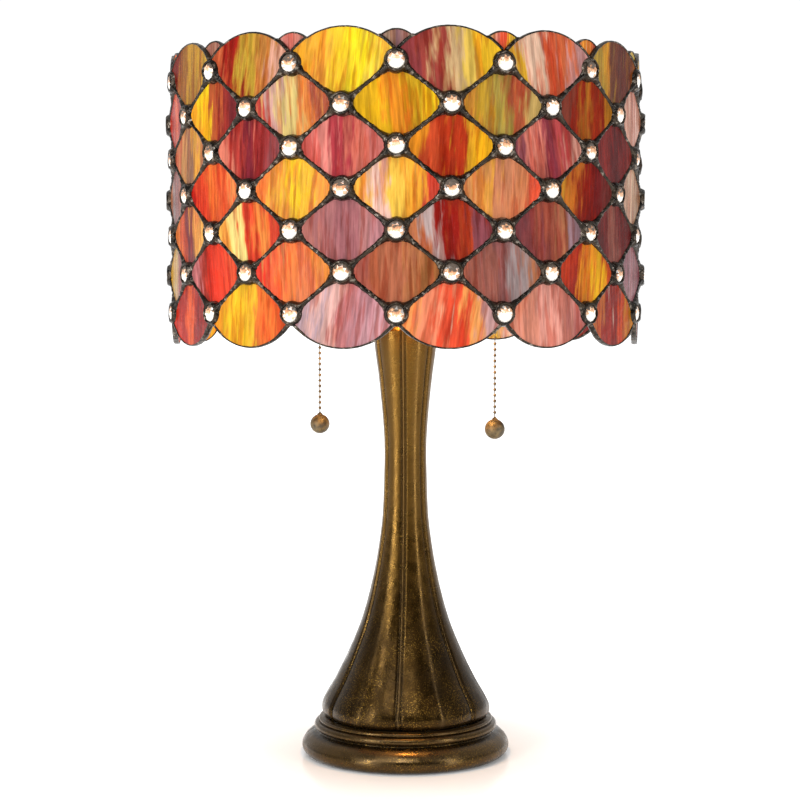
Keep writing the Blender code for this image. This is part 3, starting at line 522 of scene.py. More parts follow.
# ---------------------------------------------------------------- geometry trees
def setting_tree():
    """Sets one piece, a stone or its bezel, at every point, facing outwards and turned by a seeded amount."""
    inputs = (("Piece", "Object"), ("Turn", "Float"), ("Seed", "Int"), ("Material", "Material"))
    tree, start = new_tree("set_at_joints", inputs)
    given = start.outputs
    piece = add(tree, "GeometryNodeObjectInfo", {"Object": given["Piece"]})
    outward = add(tree, "GeometryNodeInputNamedAttribute", {"Name": "outward"}, data_type="FLOAT_VECTOR")
    facing = add(tree, "FunctionNodeAlignRotationToVector", {"Vector": outward.outputs[0]}, axis="Z")
    spin = add(tree, "FunctionNodeRandomValue", {"Max": given["Turn"], "Seed": given["Seed"]},
               data_type="FLOAT")
    turn = add(tree, "FunctionNodeAxisAngleToRotation", {"Axis": (0, 0, 1), "Angle": spin.outputs[1]})
    whole = add(tree, "FunctionNodeRotateRotation", {0: facing.outputs[0], 1: turn.outputs[0]},
                rotation_space="LOCAL")
    placed = add(tree, "GeometryNodeInstanceOnPoints", {
        "Points": given["Geometry"], "Instance": piece.outputs["Geometry"], "Rotation": whole.outputs[0]})
    close_tree(tree, given, placed.outputs[0])
    return tree


def bead_chain_tree():
    """A ball chain hanging down -Z: beads at a pitch, on a thin wire that shows between them."""
    inputs = (("Length", "Float"), ("Pitch", "Float"), ("Bead radius", "Float"), ("Wire radius", "Float"),
              ("Material", "Material"))
    tree, start = new_tree("bead_chain", inputs)
    given = start.outputs
    drop = add(tree, "ShaderNodeCombineXYZ", {"Z": maths(tree, "MULTIPLY", given["Length"], -1.0)})
    line = add(tree, "GeometryNodeCurvePrimitiveLine", {"Start": (0, 0, 0), "End": drop.outputs[0]})
    spots = add(tree, "GeometryNodeCurveToPoints", {"Curve": line.outputs[0], "Length": given["Pitch"]},
                mode="LENGTH")
    bead = {"Segments": 12, "Rings": 8, "Radius": given["Bead radius"]}
    bead = add(tree, "GeometryNodeMeshUVSphere", bead)
    beads = {"Points": spots.outputs[0], "Instance": bead.outputs[0]}
    beads = add(tree, "GeometryNodeInstanceOnPoints", beads)
    ring = {"Resolution": 6, "Radius": given["Wire radius"]}
    ring = add(tree, "GeometryNodeCurvePrimitiveCircle", ring)
    wire = add(tree, "GeometryNodeCurveToMesh", {
        "Curve": line.outputs[0], "Profile Curve": ring.outputs[0], "Fill Caps": True})
    both = add(tree, "GeometryNodeJoinGeometry")
    tree.links.new(beads.outputs[0], both.inputs[0])
    tree.links.new(wire.outputs[0], both.inputs[0])
    close_tree(tree, given, both.outputs[0])
    return tree


SETTING = setting_tree()
CHAIN = bead_chain_tree()


# ---------------------------------------------------------------- the glass
# The sheets as laid out: each pane's five bands of colour from left to right, for the panes that face front.
# Their colours also hold each pane's painted glow, how brightly it shines with the bulbs' light.
FRONT_PANES = (
    (
        "7c2014 9a5a1c b8861e b07c1c c49422", "c2603a 9c2018 c09a34 c4803c dba088",
        "e8a028 f3b03a f4c42a fade22 f0cc44", "8c3c3e 9a4038 cba878 d8b450 e8b628",
        "e4ac2c e6bca0 cc5430 d46a40 c6908c", "b08c2c c88c1c 703a22 602c22 884c1c",
    ),
    (
        "f2a424 f6cc18 c05a2c 9c3028 7c2428", "b83c30 c8968c d8bc70 ec9038 ac4c2c",
        "dca81c e8b01c e48c24 cca020 e4b81a", "cc8a2c bc9228 a8903c b0502c bc9a54",
        "7a3628 94260e a8621a 98280c a86a18", "c48a70 d49c84 b87860 e0b0a0 a86850",
    ),
    (
        "c86a4c c48a50 9c6a4c e6a22c c88050", "dc7a64 b43c34 7c2430 a03434 944a4c",
        "d45e54 e4867a ac3840 d06a58 cc7068", "e28a22 cc4c28 b03418 d89c24 e8a81a",
        "8a464e dc7e6c 8c3440 b44646 c88c7c", "701a18 861e18 5c1214 701816 7c2a24",
    ),
    (
        "c82014 e44824 f47830 ea5c2c f28c4c", "f27e34 f4aa38 fccc14 f8b826 f49a34",
        "f6ae44 f2c4b2 f8c44c f4a634 e0503c", "dc9254 e49c3c cc8058 d07c4e e65432",
        "c88a28 c46c20 8c1c0c 741818 6c2c28", "c09070 a87858 d0a888 b08868 987050",
    ),
    (
        "e47a38 cc5634 7c3038 e69842 f2ae4c", "f4ac4c f8da84 ea4a30 f08a40 e24c34",
        "bc7268 a86a6a a46468 b87a78 b87c80", "bc7048 b8a09c 901a12 ac3c1e 8c4850",
        "7c3a3e 8c4242 9c4a38 ac6c4a 94747c", "581210 6a1410 8a4a3c 6a1612 581010",
    ),
    (
        "c87474 a03024 e63820 ea4228 ec5632", "e43624 f05e34 f47c38 ee804a ec8a2c",
        "aa5a4c aa583a b4684a b87248 9c6034", "ac5c46 9a584a 8e5450 9c8886 ac6844",
        "c03c1e a02a1c dc8420 e8ac1c c44c20", "8c5058 7c404c a06870 885058 784048",
    ),
    (
        "cc2e14 b42414 e65822 9c1a16 a4281e", "f29e2a fac22a faba32 ec7834 e25828",
        "b89aa2 e4b0a6 c47878 bc8288 cc969c", "f49a56 ec8864 e65032 f2a058 cc9c98",
        "d48064 dc8c74 e49a8a c47464 b46c66", "c06424 982010 881808 bc3c10 c07418",
    ),
)
FRONT_FANS = (
    "b08470 a87464 b88c74 a06c60 987060", "c88478 d4786c d86c5c c87c6c c08878",
    "9c7c70 a88c74 8c6468 9c7068 a89478", "e8a46c e88a78 e8502c f4cc2c f0d040",
    "d06c3c e48c38 ec9a34 d87838 b8604c", "c8b048 e0c444 d0b43c b8a048 c8a840",
)
WISPS = ("a04a30", "8c2420", "d8a890", "b09a50", "f0c8a8", "e8dcc8")
FIRST_FRONT_PANE = (-62, -50)  # azimuth in degrees of the first of them, in even and in odd rows
PANE_SEED = 41


def pane_colours(row, step, rng, front):
    """Five bands and a wisp: chosen for the panes that face front, drawn from the same sheets behind."""
    degrees = math.degrees(column_azimuth(row, step))
    first = FIRST_FRONT_PANE[row % 2]
    seat = round(((degrees + 180) % 360 - 180 - first) / math.degrees(2 * HALF_STEP))
    if 0 <= seat < len(front):
        bands = front[seat].split()
    else:
        bands = rng.choice(rng.choice(FRONT_PANES)).split()
        if rng.random() < 0.5:
            bands = bands[::-1]
    wisps = bands + list(WISPS[:1 + rng.randrange(len(WISPS))])
    return [linear(band) for band in bands] + [linear(rng.choice(wisps))]


def pane_outline(kind):
    """Counter-clockwise outline of a pane, cut to lie under the solder and round the stones."""
    lean = math.degrees(math.atan2(ROW_RISE, HALF_PITCH))
    round_stone = STONE_RADIUS + 0.0009
    slack = math.degrees(math.asin(0.0004 / round_stone))
    low = arc((0, -ROW_RISE), round_stone, 180 - lean - slack, lean + slack, 6)
    if kind == "diamond":
        side = arc((HALF_PITCH, 0), round_stone, 180 + lean - slack, 180 - lean + slack, 8)
        points = low + side
        return points + [(-a, -u) for a, u in low] + [(-a, -u) for a, u in side]
    side = arc((HALF_PITCH, 0), round_stone, 180 + lean - slack, 104, 8)
    reach = HALF_PITCH - 0.0022
    rim = [reach * (1 - 2 * i / 28) for i in range(29)]
    top = [(a, scallop(a) - 0.0006) for a in rim]
    points = low + side + top + [(-a, u) for a, u in side[::-1]]
    return points if kind == "top" else [(a, -u) for a, u in points[::-1]]


def fan_outline():
    sides = [0.0007 + 0.0099 * i / 8 for i in range(9)]
    right = [(a, scallop(HALF_PITCH - a) + 0.0007) for a in sides]
    top = [(0.0098 * (1 - 2 * i / 12), 0) for i in range(13)]
    return right + [(a, fan_curve(a) - 0.0006) for a, _ in top] + [(-a, u) for a, u in right[::-1]]


def add_slab(shape, layers, azimuth, height, outline, colours, seed, lean):
    """One flat pane as a closed slab, with its colours and its place across and along in its points."""
    half = GLASS_THICKNESS / 2
    widest = max(across for across, _ in outline)
    rings = []
    for distance in (PANE_DISTANCE + half, PANE_DISTANCE - half):
        ring = []
        for across, up in outline:
            vertex = shape.verts.new(on_plane(azimuth, distance, across, height + up))
            vertex[layers["pane"]] = Vector(((across + lean * up) / widest, up / ROW_RISE, seed))
            for name, colour in colours.items():
                vertex[layers[name]] = colour
            ring.append(vertex)
        rings.append(ring)
    shape.faces.new(rings[0])
    shape.faces.new(rings[1][::-1])
    for i in range(len(outline)):
        j = (i + 1) % len(outline)
        shape.faces.new((rings[0][j], rings[0][i], rings[1][i], rings[1][j]))


def glass_row(row, rng):
    """One row of panes; the top row has the small fans of its edge too."""
    shape = bmesh.new()
    layers = {"pane": shape.verts.layers.float_vector.new("pane")}
    names = [f"band_{i + 1}" for i in range(5)] + ["wisp"]
    for name in names:
        layers[name] = shape.verts.layers.float_color.new(name)
    kind = "top" if row == 0 else "bottom" if row == ROWS - 1 else "diamond"
    outline = pane_outline(kind)
    height = row_height(row)
    for step in range(COLUMNS):
        colours = dict(zip(names, pane_colours(row, step, rng, FRONT_PANES[row])))
        seed, lean = rng.uniform(0, 90), rng.gauss(0, 0.07)
        add_slab(shape, layers, column_azimuth(row, step), height, outline, colours, seed, lean)
    for step in range(COLUMNS if row == 0 else 0):
        colours = dict(zip(names, pane_colours(1, step, rng, FRONT_FANS)))
        seed = rng.uniform(0, 90)
        add_slab(shape, layers, column_azimuth(1, step), height, fan_outline(), colours, seed, 0.0)
    obj = object_of(f"glass_panes_row_{row + 1}", shape)
    place_piece(obj, "shade", "art_glass", GLASS, f"glass_row_{row + 1}", crease=30)


# ---------------------------------------------------------------- the soldered lattice
JOINTS = [(column_azimuth(row, step) + HALF_STEP, row_height(row)) for row in range(ROWS)
          for step in range(COLUMNS)]  # azimuth and height of every stone


def flare(from_stone, reach):
    """1 at a bezel's edge, falling off along the seam, as solder draws into the corner."""
    return math.exp(-max(0.0, from_stone - BEZEL_RADIUS + 0.0012) / reach)


def seam_rings(row, step, side):
    """A bead of solder between a pane and its lower neighbour, proud of both in front and behind."""
    azimuth, height = column_azimuth(row, step), row_height(row)
    below = azimuth + side * HALF_STEP
    length = math.hypot(HALF_PITCH, ROW_RISE)
    away = (ROW_RISE / length, HALF_PITCH / length)  # across and up, from the seam into the upper pane
    half = GLASS_THICKNESS / 2
    steps = 26
    rings = []
    for i in range(steps + 1):
        t = 0.15 + 0.7 * i / steps
        near = min(t, 1 - t) * length
        width = SEAM_HALF + 0.0026 * flare(near, 0.0030)
        proud = 0.0010 + 0.0016 * flare(near, 0.0026)
        z = height - ROW_RISE * t
        upper_across, lower_across = side * HALF_PITCH * (1 - t), -side * HALF_PITCH * t
        shift, rise = side * away[0] * width, away[1] * width

        def edge(upper, distance):
            if upper:
                return on_plane(azimuth, distance, upper_across - shift, z + rise)
            return on_plane(below, distance, lower_across + shift, z - rise)

        turn = azimuth + side * math.atan2(HALF_PITCH * (1 - t), PANE_DISTANCE)
        reach = [math.hypot(PANE_DISTANCE, a) for a in (upper_across, lower_across)]
        crest = polar(turn, max(reach) + half + proud, z)
        hollow = polar(turn, min(reach) - half - proud * 0.8, z)
        front, back = PANE_DISTANCE + half - SEAM_LAP, PANE_DISTANCE - half + SEAM_LAP
        upper, lower = edge(True, front), edge(False, front)
        lift = polar(turn, 0.0004, 0)
        rings.append([
            upper, upper.lerp(crest, 0.5) + lift, crest, lower.lerp(crest, 0.5) + lift, lower,
            edge(False, back), hollow, edge(True, back)])
    return rings


def rim_rings(azimuth, height, places, depth):
    """A folded strip of tinned foil over a pane's free edge. Places are (across, up, half width)."""
    rings = []
    for i, (across, up, half) in enumerate(places):
        before, after = places[max(i - 1, 0)], places[min(i + 1, len(places) - 1)]
        along = Vector((after[0] - before[0], after[1] - before[1])).normalized()
        ring = []
        for k in range(8):
            turn = math.tau * (k + 0.5) / 8
            out, back = half * math.cos(turn) * 1.08, depth * math.sin(turn) * 1.08
            spot = (across - along.y * out, height + up + along.x * out)
            ring.append(on_plane(azimuth, PANE_DISTANCE + back, *spot))
        rings.append(ring)
    return rings


def rim_places(flip):
    """Along a scalloped edge, at the top with flip 1 and at the bottom with -1: (across, up, half width)."""
    reach = HALF_PITCH - 0.0012
    steps = 44
    places = []
    for i in range(steps + 1):
        across = reach * (2 * i / steps - 1)
        if flip > 0 and abs(across) > HALF_PITCH - FAN_HALF:
            half, inset = RIM_HALF_AT_FAN, 0.0002
        else:
            half = RIM_HALF + RIM_FLARE * flare(HALF_PITCH - abs(across), 0.003)
            inset = 1.25 * half
        places.append((across, flip * (scallop(across) - inset), half))
    return places


def lattice():
    """The solder between the panes, and the foil over the free edges at the top and the bottom."""
    seams = bmesh.new()
    for row in range(ROWS - 1):
        for step in range(COLUMNS):
            for side in (-1, 1):
                tube_through(seams, seam_rings(row, step, side))
    obj = object_of("solder_seams", seams)
    lumps(obj, 3.4 * MM, 0.42 * MM, 0.9)
    place_piece(obj, "shade", "patinated_solder", SOLDER, "lead_net")

    rims = bmesh.new()
    depth = GLASS_THICKNESS / 2 + RIM_PROUD
    fan_steps = [FAN_HALF * (i / 8 - 1) for i in range(17)]
    fan_places = [(across, fan_curve(across) - RIM_HALF, RIM_HALF) for across in fan_steps]
    for step in range(COLUMNS):
        for row, flip in ((0, 1), (ROWS - 1, -1)):
            rings = rim_rings(column_azimuth(row, step), row_height(row), rim_places(flip), depth)
            tube_through(rims, rings)
        tube_through(rims, rim_rings(column_azimuth(1, step), row_height(0), fan_places, depth))
    obj = object_of("rim_foil", rims)
    lumps(obj, 3.0 * MM, 0.14 * MM, 0.8)
    place_piece(obj, "shade", "patinated_solder", SOLDER)


def stone_mesh():
    """A cut stone: a flat table, two rings of facets, a girdle and a pointed back. Each facet has a painted
    glint, the brightness of its painted reflection.
    """
    shape = bmesh.new()
    painted_glint = shape.faces.layers.float.new("painted_glint")
    sides = 8
    r = STONE_RADIUS
    table = [(r * 0.50, math.tau * i / sides, 0.0021) for i in range(sides)]
    star = [(r * 0.80, math.tau * (i + 0.5) / sides, 0.0014) for i in range(sides)]
    girdle = [(r, math.tau * i / (2 * sides), 0.0) for i in range(2 * sides)]
    back = [(r * 0.45, math.tau * (i + 0.5) / sides, -0.0030) for i in range(sides)]
    rings = [[shape.verts.new((a * math.cos(t), a * math.sin(t), z)) for a, t, z in ring]
             for ring in (table, star, girdle, back)]
    tip = shape.verts.new((0, 0, -0.0045))
    rng = random.Random(5)
    table, star, girdle, back = rings
    faces = [(shape.faces.new(table), 0.42)]
    for i in range(sides):
        j = (i + 1) % sides
        a, b, c = girdle[2 * i], girdle[2 * i + 1], girdle[(2 * i + 2) % (2 * sides)]
        faces.append((shape.faces.new((table[i], star[i], table[j])), rng.uniform(0.35, 0.75)))
        faces.append((shape.faces.new((table[j], star[i], c, star[j])), rng.uniform(0.1, 0.6)))
        faces.append((shape.faces.new((star[i], a, b)), rng.uniform(0.05, 0.5)))
        faces.append((shape.faces.new((star[i], b, c)), rng.uniform(0.05, 0.5)))
        faces.append((shape.faces.new((a, back[i], b)), 0.3))
        faces.append((shape.faces.new((b, back[i], c)), 0.4))
        faces.append((shape.faces.new((back[i], back[j], c)), 0.35))
        faces.append((shape.faces.new((back[i], tip, back[j])), rng.uniform(0.1, 0.7)))
    for face, value in faces:
        face[painted_glint] = value
    return shape


def bezel_mesh():
    """The raised ring of solder that holds a stone, from its lip down past both faces of the glass."""
    shape = bmesh.new()
    profile = [(0.0060, -0.0017), (0.0063, -0.0005), (0.0069, -0.0001), (0.0077, -0.0010), (0.0085, -0.0028),
               (0.0090, -0.0062), (0.0087, -0.0090), (0.0074, -0.0102), (0.0062, -0.0098), (0.0056, -0.0080)]
    turn_into(shape, profile, 20)
    return shape


def set_at_joints(name, shape, radius, material):
    """A copy of one shape at every joint of the lattice, that far from the axis. Returns its object."""
    pattern = object_of(name + "_pattern", shape)
    base = bpy.data.meshes.new(name)
    base.from_pydata([polar(azimuth, radius, height) for azimuth, height in JOINTS], [], [])
    facing = base.attributes.new("outward", "FLOAT_VECTOR", "POINT")
    for item, (azimuth, _) in zip(facing.data, JOINTS):
        item.vector = polar(azimuth, 1, 0)
    settings = {"Piece": pattern, "Turn": math.tau, "Seed": 3, "Material": material}
    obj = realised(name, SETTING, base, settings)
    bpy.data.objects.remove(pattern)
    return obj


def stones():
    """The stones, each with its painted refraction, lighter low and darker high and shifted at random, and
    the bezels that hold them.
    """
    obj = set_at_joints("cut_stones", stone_mesh(), NET_RADIUS - STONE_SINK, CRYSTAL)
    rise = obj.data.attributes.new("rise", "FLOAT", "POINT")
    share = len(obj.data.vertices) // len(JOINTS)
    painted_light_shifts = random.Random(8)
    for i, (_, height) in enumerate(JOINTS):
        # A random shift of each stone's painted light.
        painted_light_shift = painted_light_shifts.uniform(-0.25, 0.35)
        for k in range(i * share, (i + 1) * share):
            rise.data[k].value = (obj.data.vertices[k].co.z - height) / STONE_RADIUS + painted_light_shift
    place_piece(obj, "shade", "art_glass", CRYSTAL)
    obj.data.shade_flat()

    obj = set_at_joints("solder_bezels", bezel_mesh(), NET_RADIUS - BEZEL_SINK, SOLDER)
    lumps(obj, 3.4 * MM, 0.26 * MM, 0.8)
    place_piece(obj, "shade", "patinated_solder", SOLDER)


# ---------------------------------------------------------------- the cast column and foot
def marked(obj, marks):
    """Gives each point of a casting its wear, its hollow, and its dusting of specks together with the painted
    glow of the neck, which the bronze reads.
    """
    for i, label in enumerate(("wear", "hollow", "dusting_and_painted_glow")):
        layer = obj.data.attributes.new(label, "FLOAT", "POINT")
        layer.data.foreach_set("value", [mark[i] for mark in marks])
    return obj


def cast_shape(name, rings, marks, node):
    """A closed casting through rings of points."""
    shape = bmesh.new()
    tube_through(shape, rings, capped=False)
    place_piece(marked(object_of(name, shape), marks), "base", "antique_bronze", BRONZE, node)


def column():
    """Six panels with a soft keel down each, falling to creases with a thin rib between two fine grooves."""
    up_steps, round_steps = 96, 360
    panel = math.tau / PANELS
    rings, marks = [], []
    for k in range(up_steps + 1):
        share = (k / up_steps) ** 1.25
        radius = smooth_read(COLUMN_OUTLINE, share) * COLUMN_FOOT_RADIUS
        height = COLUMN_LOW + share * COLUMN_HEIGHT
        ring = []
        for i in range(round_steps):
            turn = math.tau * i / round_steps
            from_rib = (turn + panel / 2) % panel - panel / 2
            out = abs(from_rib) / (panel / 2)  # 0 on a rib, 1 on a keel
            fall = CREASE * (1 - out) ** 1.7
            keel = math.exp(-(((1 - out) * radius / 0.0035) ** 2) * 0.5)
            gap = abs(from_rib) * radius
            rib = RIB_HEIGHT * math.exp(-((gap / (RIB_HALF * 0.55)) ** 2))
            groove = math.exp(-(((gap - GROOVE_OUT) / 0.0008) ** 2))
            r = radius * (1 - fall - 0.008 + keel * KEEL * 0.6) + rib - groove * GROOVE_DEPTH
            ring.append(polar(RIB_AZIMUTH + turn, r, height))
            wear = min(1.0, 0.75 * rib / RIB_HEIGHT + 0.35 * keel + 0.4 * math.exp(-share / 0.012))
            hollow = min(1.0, groove + 0.7 * math.exp(-share / 0.004))
            # The third mark is high low down, for denser specks, and falls up the column, where it paints the
            # neck lighter as painted highlight and glow.
            marks.append((wear, hollow, 0.95 - 0.55 * min(1.0, share * 1.6)))
        rings.append(ring)
    inner = []
    for k in range(0, up_steps + 1, 8):
        share = (k / up_steps) ** 1.25
        radius = smooth_read(COLUMN_OUTLINE, share) * COLUMN_FOOT_RADIUS * (1 - CREASE) - 0.0035
        height = COLUMN_LOW + share * COLUMN_HEIGHT
        turns = [RIB_AZIMUTH + math.tau * i / round_steps for i in range(round_steps)]
        inner.append([polar(turn, radius, height) for turn in turns])
    rings += inner[::-1]
    marks += [(0.0, 0.6, 0.0)] * (len(inner) * round_steps)
    cast_shape("bronze_column", rings, marks, "column_casting")


def foot():
    """The foot's small ring, bead and wide roll, each parted from the next by a groove."""
    top, low = FOOT_TOP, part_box("foot_casting")[0].z
    bead, wide = COLUMN_FOOT_RADIUS, FOOT_RADIUS
    profile = [(bead - 0.0075, top), (bead - 0.0015, top), (bead - 0.0006, top - 0.0006)]
    profile += arc((bead + 0.0005, top - 0.0021), 0.0016, 95, -60, 8)
    profile += [(bead + 0.0009, top - 0.0041)]
    profile += arc((bead + 0.0025, top - 0.0066), 0.0030, 100, -60, 10)
    profile += [(bead + 0.0035, top - 0.0100), (bead + 0.0042, top - 0.0106)]
    profile += [(wide - 0.0085, top - 0.0116), (wide - 0.0052, top - 0.0132)]
    profile += [(wide - 0.0026, top - 0.0156), (wide - 0.0009, top - 0.0184)]
    profile += arc((wide - 0.0072, low + 0.0062), 0.0072, 22, -62, 10)
    profile += [(wide - 0.0045, low), (wide - 0.0070, low), (wide - 0.0070, low + 0.0033)]
    profile += [(wide - 0.0065, low + 0.008), (wide - 0.0105, low + 0.0145)]
    profile += [(bead - 0.0010, low + 0.0185), (bead - 0.0010, top - 0.004), (bead - 0.0075, top - 0.004)]
    steps = 180
    last = len(profile) - 1
    rings, marks = [], []
    for k, (radius, height) in enumerate(profile):
        before, after = profile[max(k - 1, 0)], profile[min(k + 1, last)]
        bend = (before[0] + after[0]) / 2 - radius
        wear = max(0.0, min(1.0, -bend / 0.00025)) * 0.5 + 0.5
        hollow = max(0.0, min(1.0, bend / 0.00025))
        rings.append([polar(math.tau * i / steps, radius, height) for i in range(steps)])
        marks += [(wear, hollow, 0.9)] * steps
    cast_shape("bronze_foot", rings, marks, "foot_casting")


# ---------------------------------------------------------------- fittings, bulbs and pulls
def joint_of(name):
    return next(joint for joint in frame["joints"] if joint["name"] == name)


def socket_matrix(side):
    """Z runs out along a socket from its foot; X points down and out. The bulb's joint gives both."""
    joint = joint_of(f"bulb_turn_{side}")
    along = Vector(joint["axis"]).normalized()
    root = Vector(joint["pos_m"])
    outward = Vector((along.x, along.y, 0)).normalized()
    across = (outward * along.z - Vector((0, 0, 1)) * Vector((along.x, along.y)).length).normalized()
    turn = Matrix((across, along.cross(across), along)).transposed().to_4x4()
    return Matrix.Translation(root) @ turn


def span(node):
    """(lowest height, highest height, largest radius about Z) of an upright turned node."""
    low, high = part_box(node)
    return low.z, high.z, high.y


def centre_fittings():
    """The cap, cluster, riser, hub, ring and finial that carry the shade, turned in brass."""
    low, high, radius = span("column_cap")
    profile = [(PIPE_BORE, high), (radius * 0.5, high - 0.0002), (radius * 0.78, high - 0.0010),
               (radius * 0.93, high - 0.0022), (radius, high - 0.0036), (radius, low), (PIPE_BORE, low)]
    obj = turned("bronze_cap", profile, 96)
    marked(obj, [(0.2, 0.0, 0.6)] * len(obj.data.vertices))
    place_piece(obj, "base", "antique_bronze", BRONZE, "column_cap", crease=35)

    low, high, radius = span("cluster_body")
    middle, inner = (low + high) / 2, radius - 0.005
    profile = [(PIPE_BORE, high), (radius * 0.6, high)] + arc((inner, high - 0.005), 0.005, 90, 0, 8)
    profile += [(radius, middle + 0.001), (radius - 0.0006, middle), (radius, middle - 0.001)]
    profile += arc((inner, low + 0.005), 0.005, 0, -90, 8) + [(radius * 0.6, low), (PIPE_BORE, low)]
    turn_in_brass("cluster_barrel", "base", "cluster_body", profile)

    low, high, radius = span("riser_rod")
    collar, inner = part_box("spider_hub")[0].z - GAP, radius - 0.0008
    profile = [(0, high), (0.0026, high), (0.003, high - 0.0006), (0.003, collar)]
    profile += arc((inner, collar - 0.0008), 0.0008, 90, 0, 4)
    profile += arc((inner, collar - 0.0022), 0.0008, 0, -90, 4) + [(0.005, collar - 0.003)]
    profile += [(0.005, low + 0.004), (0.0058, low + 0.002), (0.008, low + 0.0006), (0.008, low), (0, low)]
    turn_in_brass("riser", "base", "riser_rod", profile, 48)

    low, high, radius = span("spider_hub")
    profile = [(STUD_BORE, high), (radius - 0.0008, high), (radius, high - 0.0008), (radius, low + 0.0008),
               (radius - 0.0008, low), (STUD_BORE, low)]
    turn_in_brass("spider_centre", "shade", "spider_hub", profile)
    low, high, radius = span("spider_ring")
    wire, middle = (high - low) / 2, (low + high) / 2
    turns = [math.tau * i / 10 for i in range(10)]
    hoop = [(radius - wire + wire * math.cos(turn), middle - wire * math.sin(turn)) for turn in turns]
    turn_in_brass("spider_hoop", "shade", "spider_ring", hoop, 120, crease=None)
    rod = [(0, radius - 0.0034), (wire, radius - 0.0036), (wire, 0.0118), (wire * 1.5, 0.0114), (0, 0.0114)]
    for i in range(SPIDER_ARMS):
        azimuth = FIRST_ARM_AZIMUTH + i * math.tau / SPIDER_ARMS
        facing = Matrix.Rotation(azimuth - math.pi / 2, 4, "Z") @ Matrix.Rotation(math.pi / 2, 4, "Y")
        matrix = Matrix.Translation((0, 0, middle)) @ facing
        turn_in_brass(f"spider_rod_{i + 1}", "shade", f"spider_arm_{i + 1}", rod, 20, matrix)

    low, high, _ = span("finial")
    profile = [(0, high)] + arc((0.0009, high - 0.0038), 0.0038, 88, -50, 12)
    profile += [(0.0027, high - 0.0076), (0.0034, high - 0.0086), (0.0058, high - 0.0098)]
    profile += [(0.0074, high - 0.0122), (0.0080, low + 0.0045), (0.0080, low + 0.0018), (0.0068, low)]
    profile += [(STUD_BORE, low), (STUD_BORE, low + 0.009), (0, low + 0.009)]
    turn_in_brass("finial_knob", "finial", "finial", profile, 48, crease=40)


def socket_set(side):
    """One socket's dome and tube, and the screw and envelope of the bulb in it."""
    matrix = socket_matrix(side)
    r, b = SOCKET_RADIUS, BULB_BASE_RADIUS
    dome = [(0, DOME_LENGTH), (r, DOME_LENGTH), (r, 0.0105), (r * 0.985, 0.0098), (r * 0.93, 0.0072),
            (r * 0.8, 0.0045), (r * 0.55, 0.0022), (0.0072, 0.0010), (0.0066, 0.0), (0, 0.0)]
    turn_in_brass(f"socket_dome_{side}", "base", f"socket_cap_{side}", dome, 64, matrix)
    low, high, bore = TUBE_LOW, TUBE_HIGH, r - SOCKET_WALL
    tube = [(bore, high), (r - 0.0004, high), (r, high - 0.0006)]
    for at in (high - 0.004, high - 0.0065, low + 0.005):
        tube += [(r, at + 0.0009), (r - 0.0006, at), (r, at - 0.0009)]
    tube += [(r, low), (bore, low)]
    turn_in_brass(f"socket_tube_{side}", "base", f"socket_shell_{side}", tube, 64, matrix)

    low, high = SCREW_LOW, SCREW_LOW + SCREW_LENGTH
    screw = [(0, high), (b, high)]
    for i in range(SCREW_THREADS):
        at = high - 0.0015 - i * SCREW_PITCH
        screw += [(b, at), (b - 0.0008, at - SCREW_PITCH / 2)]
    screw += [(b, low + 0.004), (b * 0.75, low + 0.002), (b * 0.4, low), (0, low)]
    place_piece(turned(f"bulb_screw_{side}", screw, 48, matrix), f"bulb_{side}", "plated_steel", STEEL,
                f"bulb_base_{side}", crease=50)
    low = high + GAP
    neck = low + BULB_NECK
    bulb = [(0, low + BULB_LENGTH)] + arc((0, low + BULB_LENGTH - BULB_RADIUS), BULB_RADIUS, 86, -36, 22)
    wide, start = bulb[-1]
    for share in (0.25, 0.5, 0.75):
        ease = share * share * (3 - 2 * share)
        bulb.append((wide + (b - wide) * ease, start + (neck - start) * share))
    bulb += [(b, neck), (b, low), (0, low)]
    place_piece(turned(f"bulb_envelope_{side}", bulb, 64, matrix), f"bulb_{side}", "frosted_bulb", BULB,
                f"bulb_glass_{side}", crease=60)


def pull(side):
    """A ball chain out of the socket's spout, and the turned ball on its end with a small collar."""
    hook = Vector(joint_of(f"chain_swing_{side}")["pos_m"])
    low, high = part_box(f"pull_chain_{side}")
    settings = {"Length": high.z - low.z - 0.0012, "Pitch": CHAIN_PITCH, "Bead radius": BEAD_RADIUS,
                "Wire radius": CHAIN_WIRE, "Material": OLD_BRASS}
    obj = realised(f"bead_chain_{side}", CHAIN, bpy.data.meshes.new("start"), settings)
    obj.data.transform(Matrix.Translation((hook.x, hook.y, high.z - 0.0010)))
    place_piece(obj, f"chain_{side}", "aged_brass_pulls", OLD_BRASS, f"pull_chain_{side}")
    low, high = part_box(f"pull_ball_{side}")
    r = (high.z - low.z) / 2
    profile = [(0, 2 * r + 0.0006), (0.0016, 2 * r + 0.0006), (0.0021, 2 * r + 0.0002)]
    profile += [(0.0022, 2 * r - 0.0006)] + arc((0, r), r - 0.0001, 72, -86, 26) + [(0, 0.0001)]
    ball = turned(f"turned_ball_{side}", profile, 56, Matrix.Translation((hook.x, hook.y, low.z)))
    place_piece(ball, f"chain_{side}", "aged_brass_pulls", OLD_BRASS, f"pull_ball_{side}", crease=50)


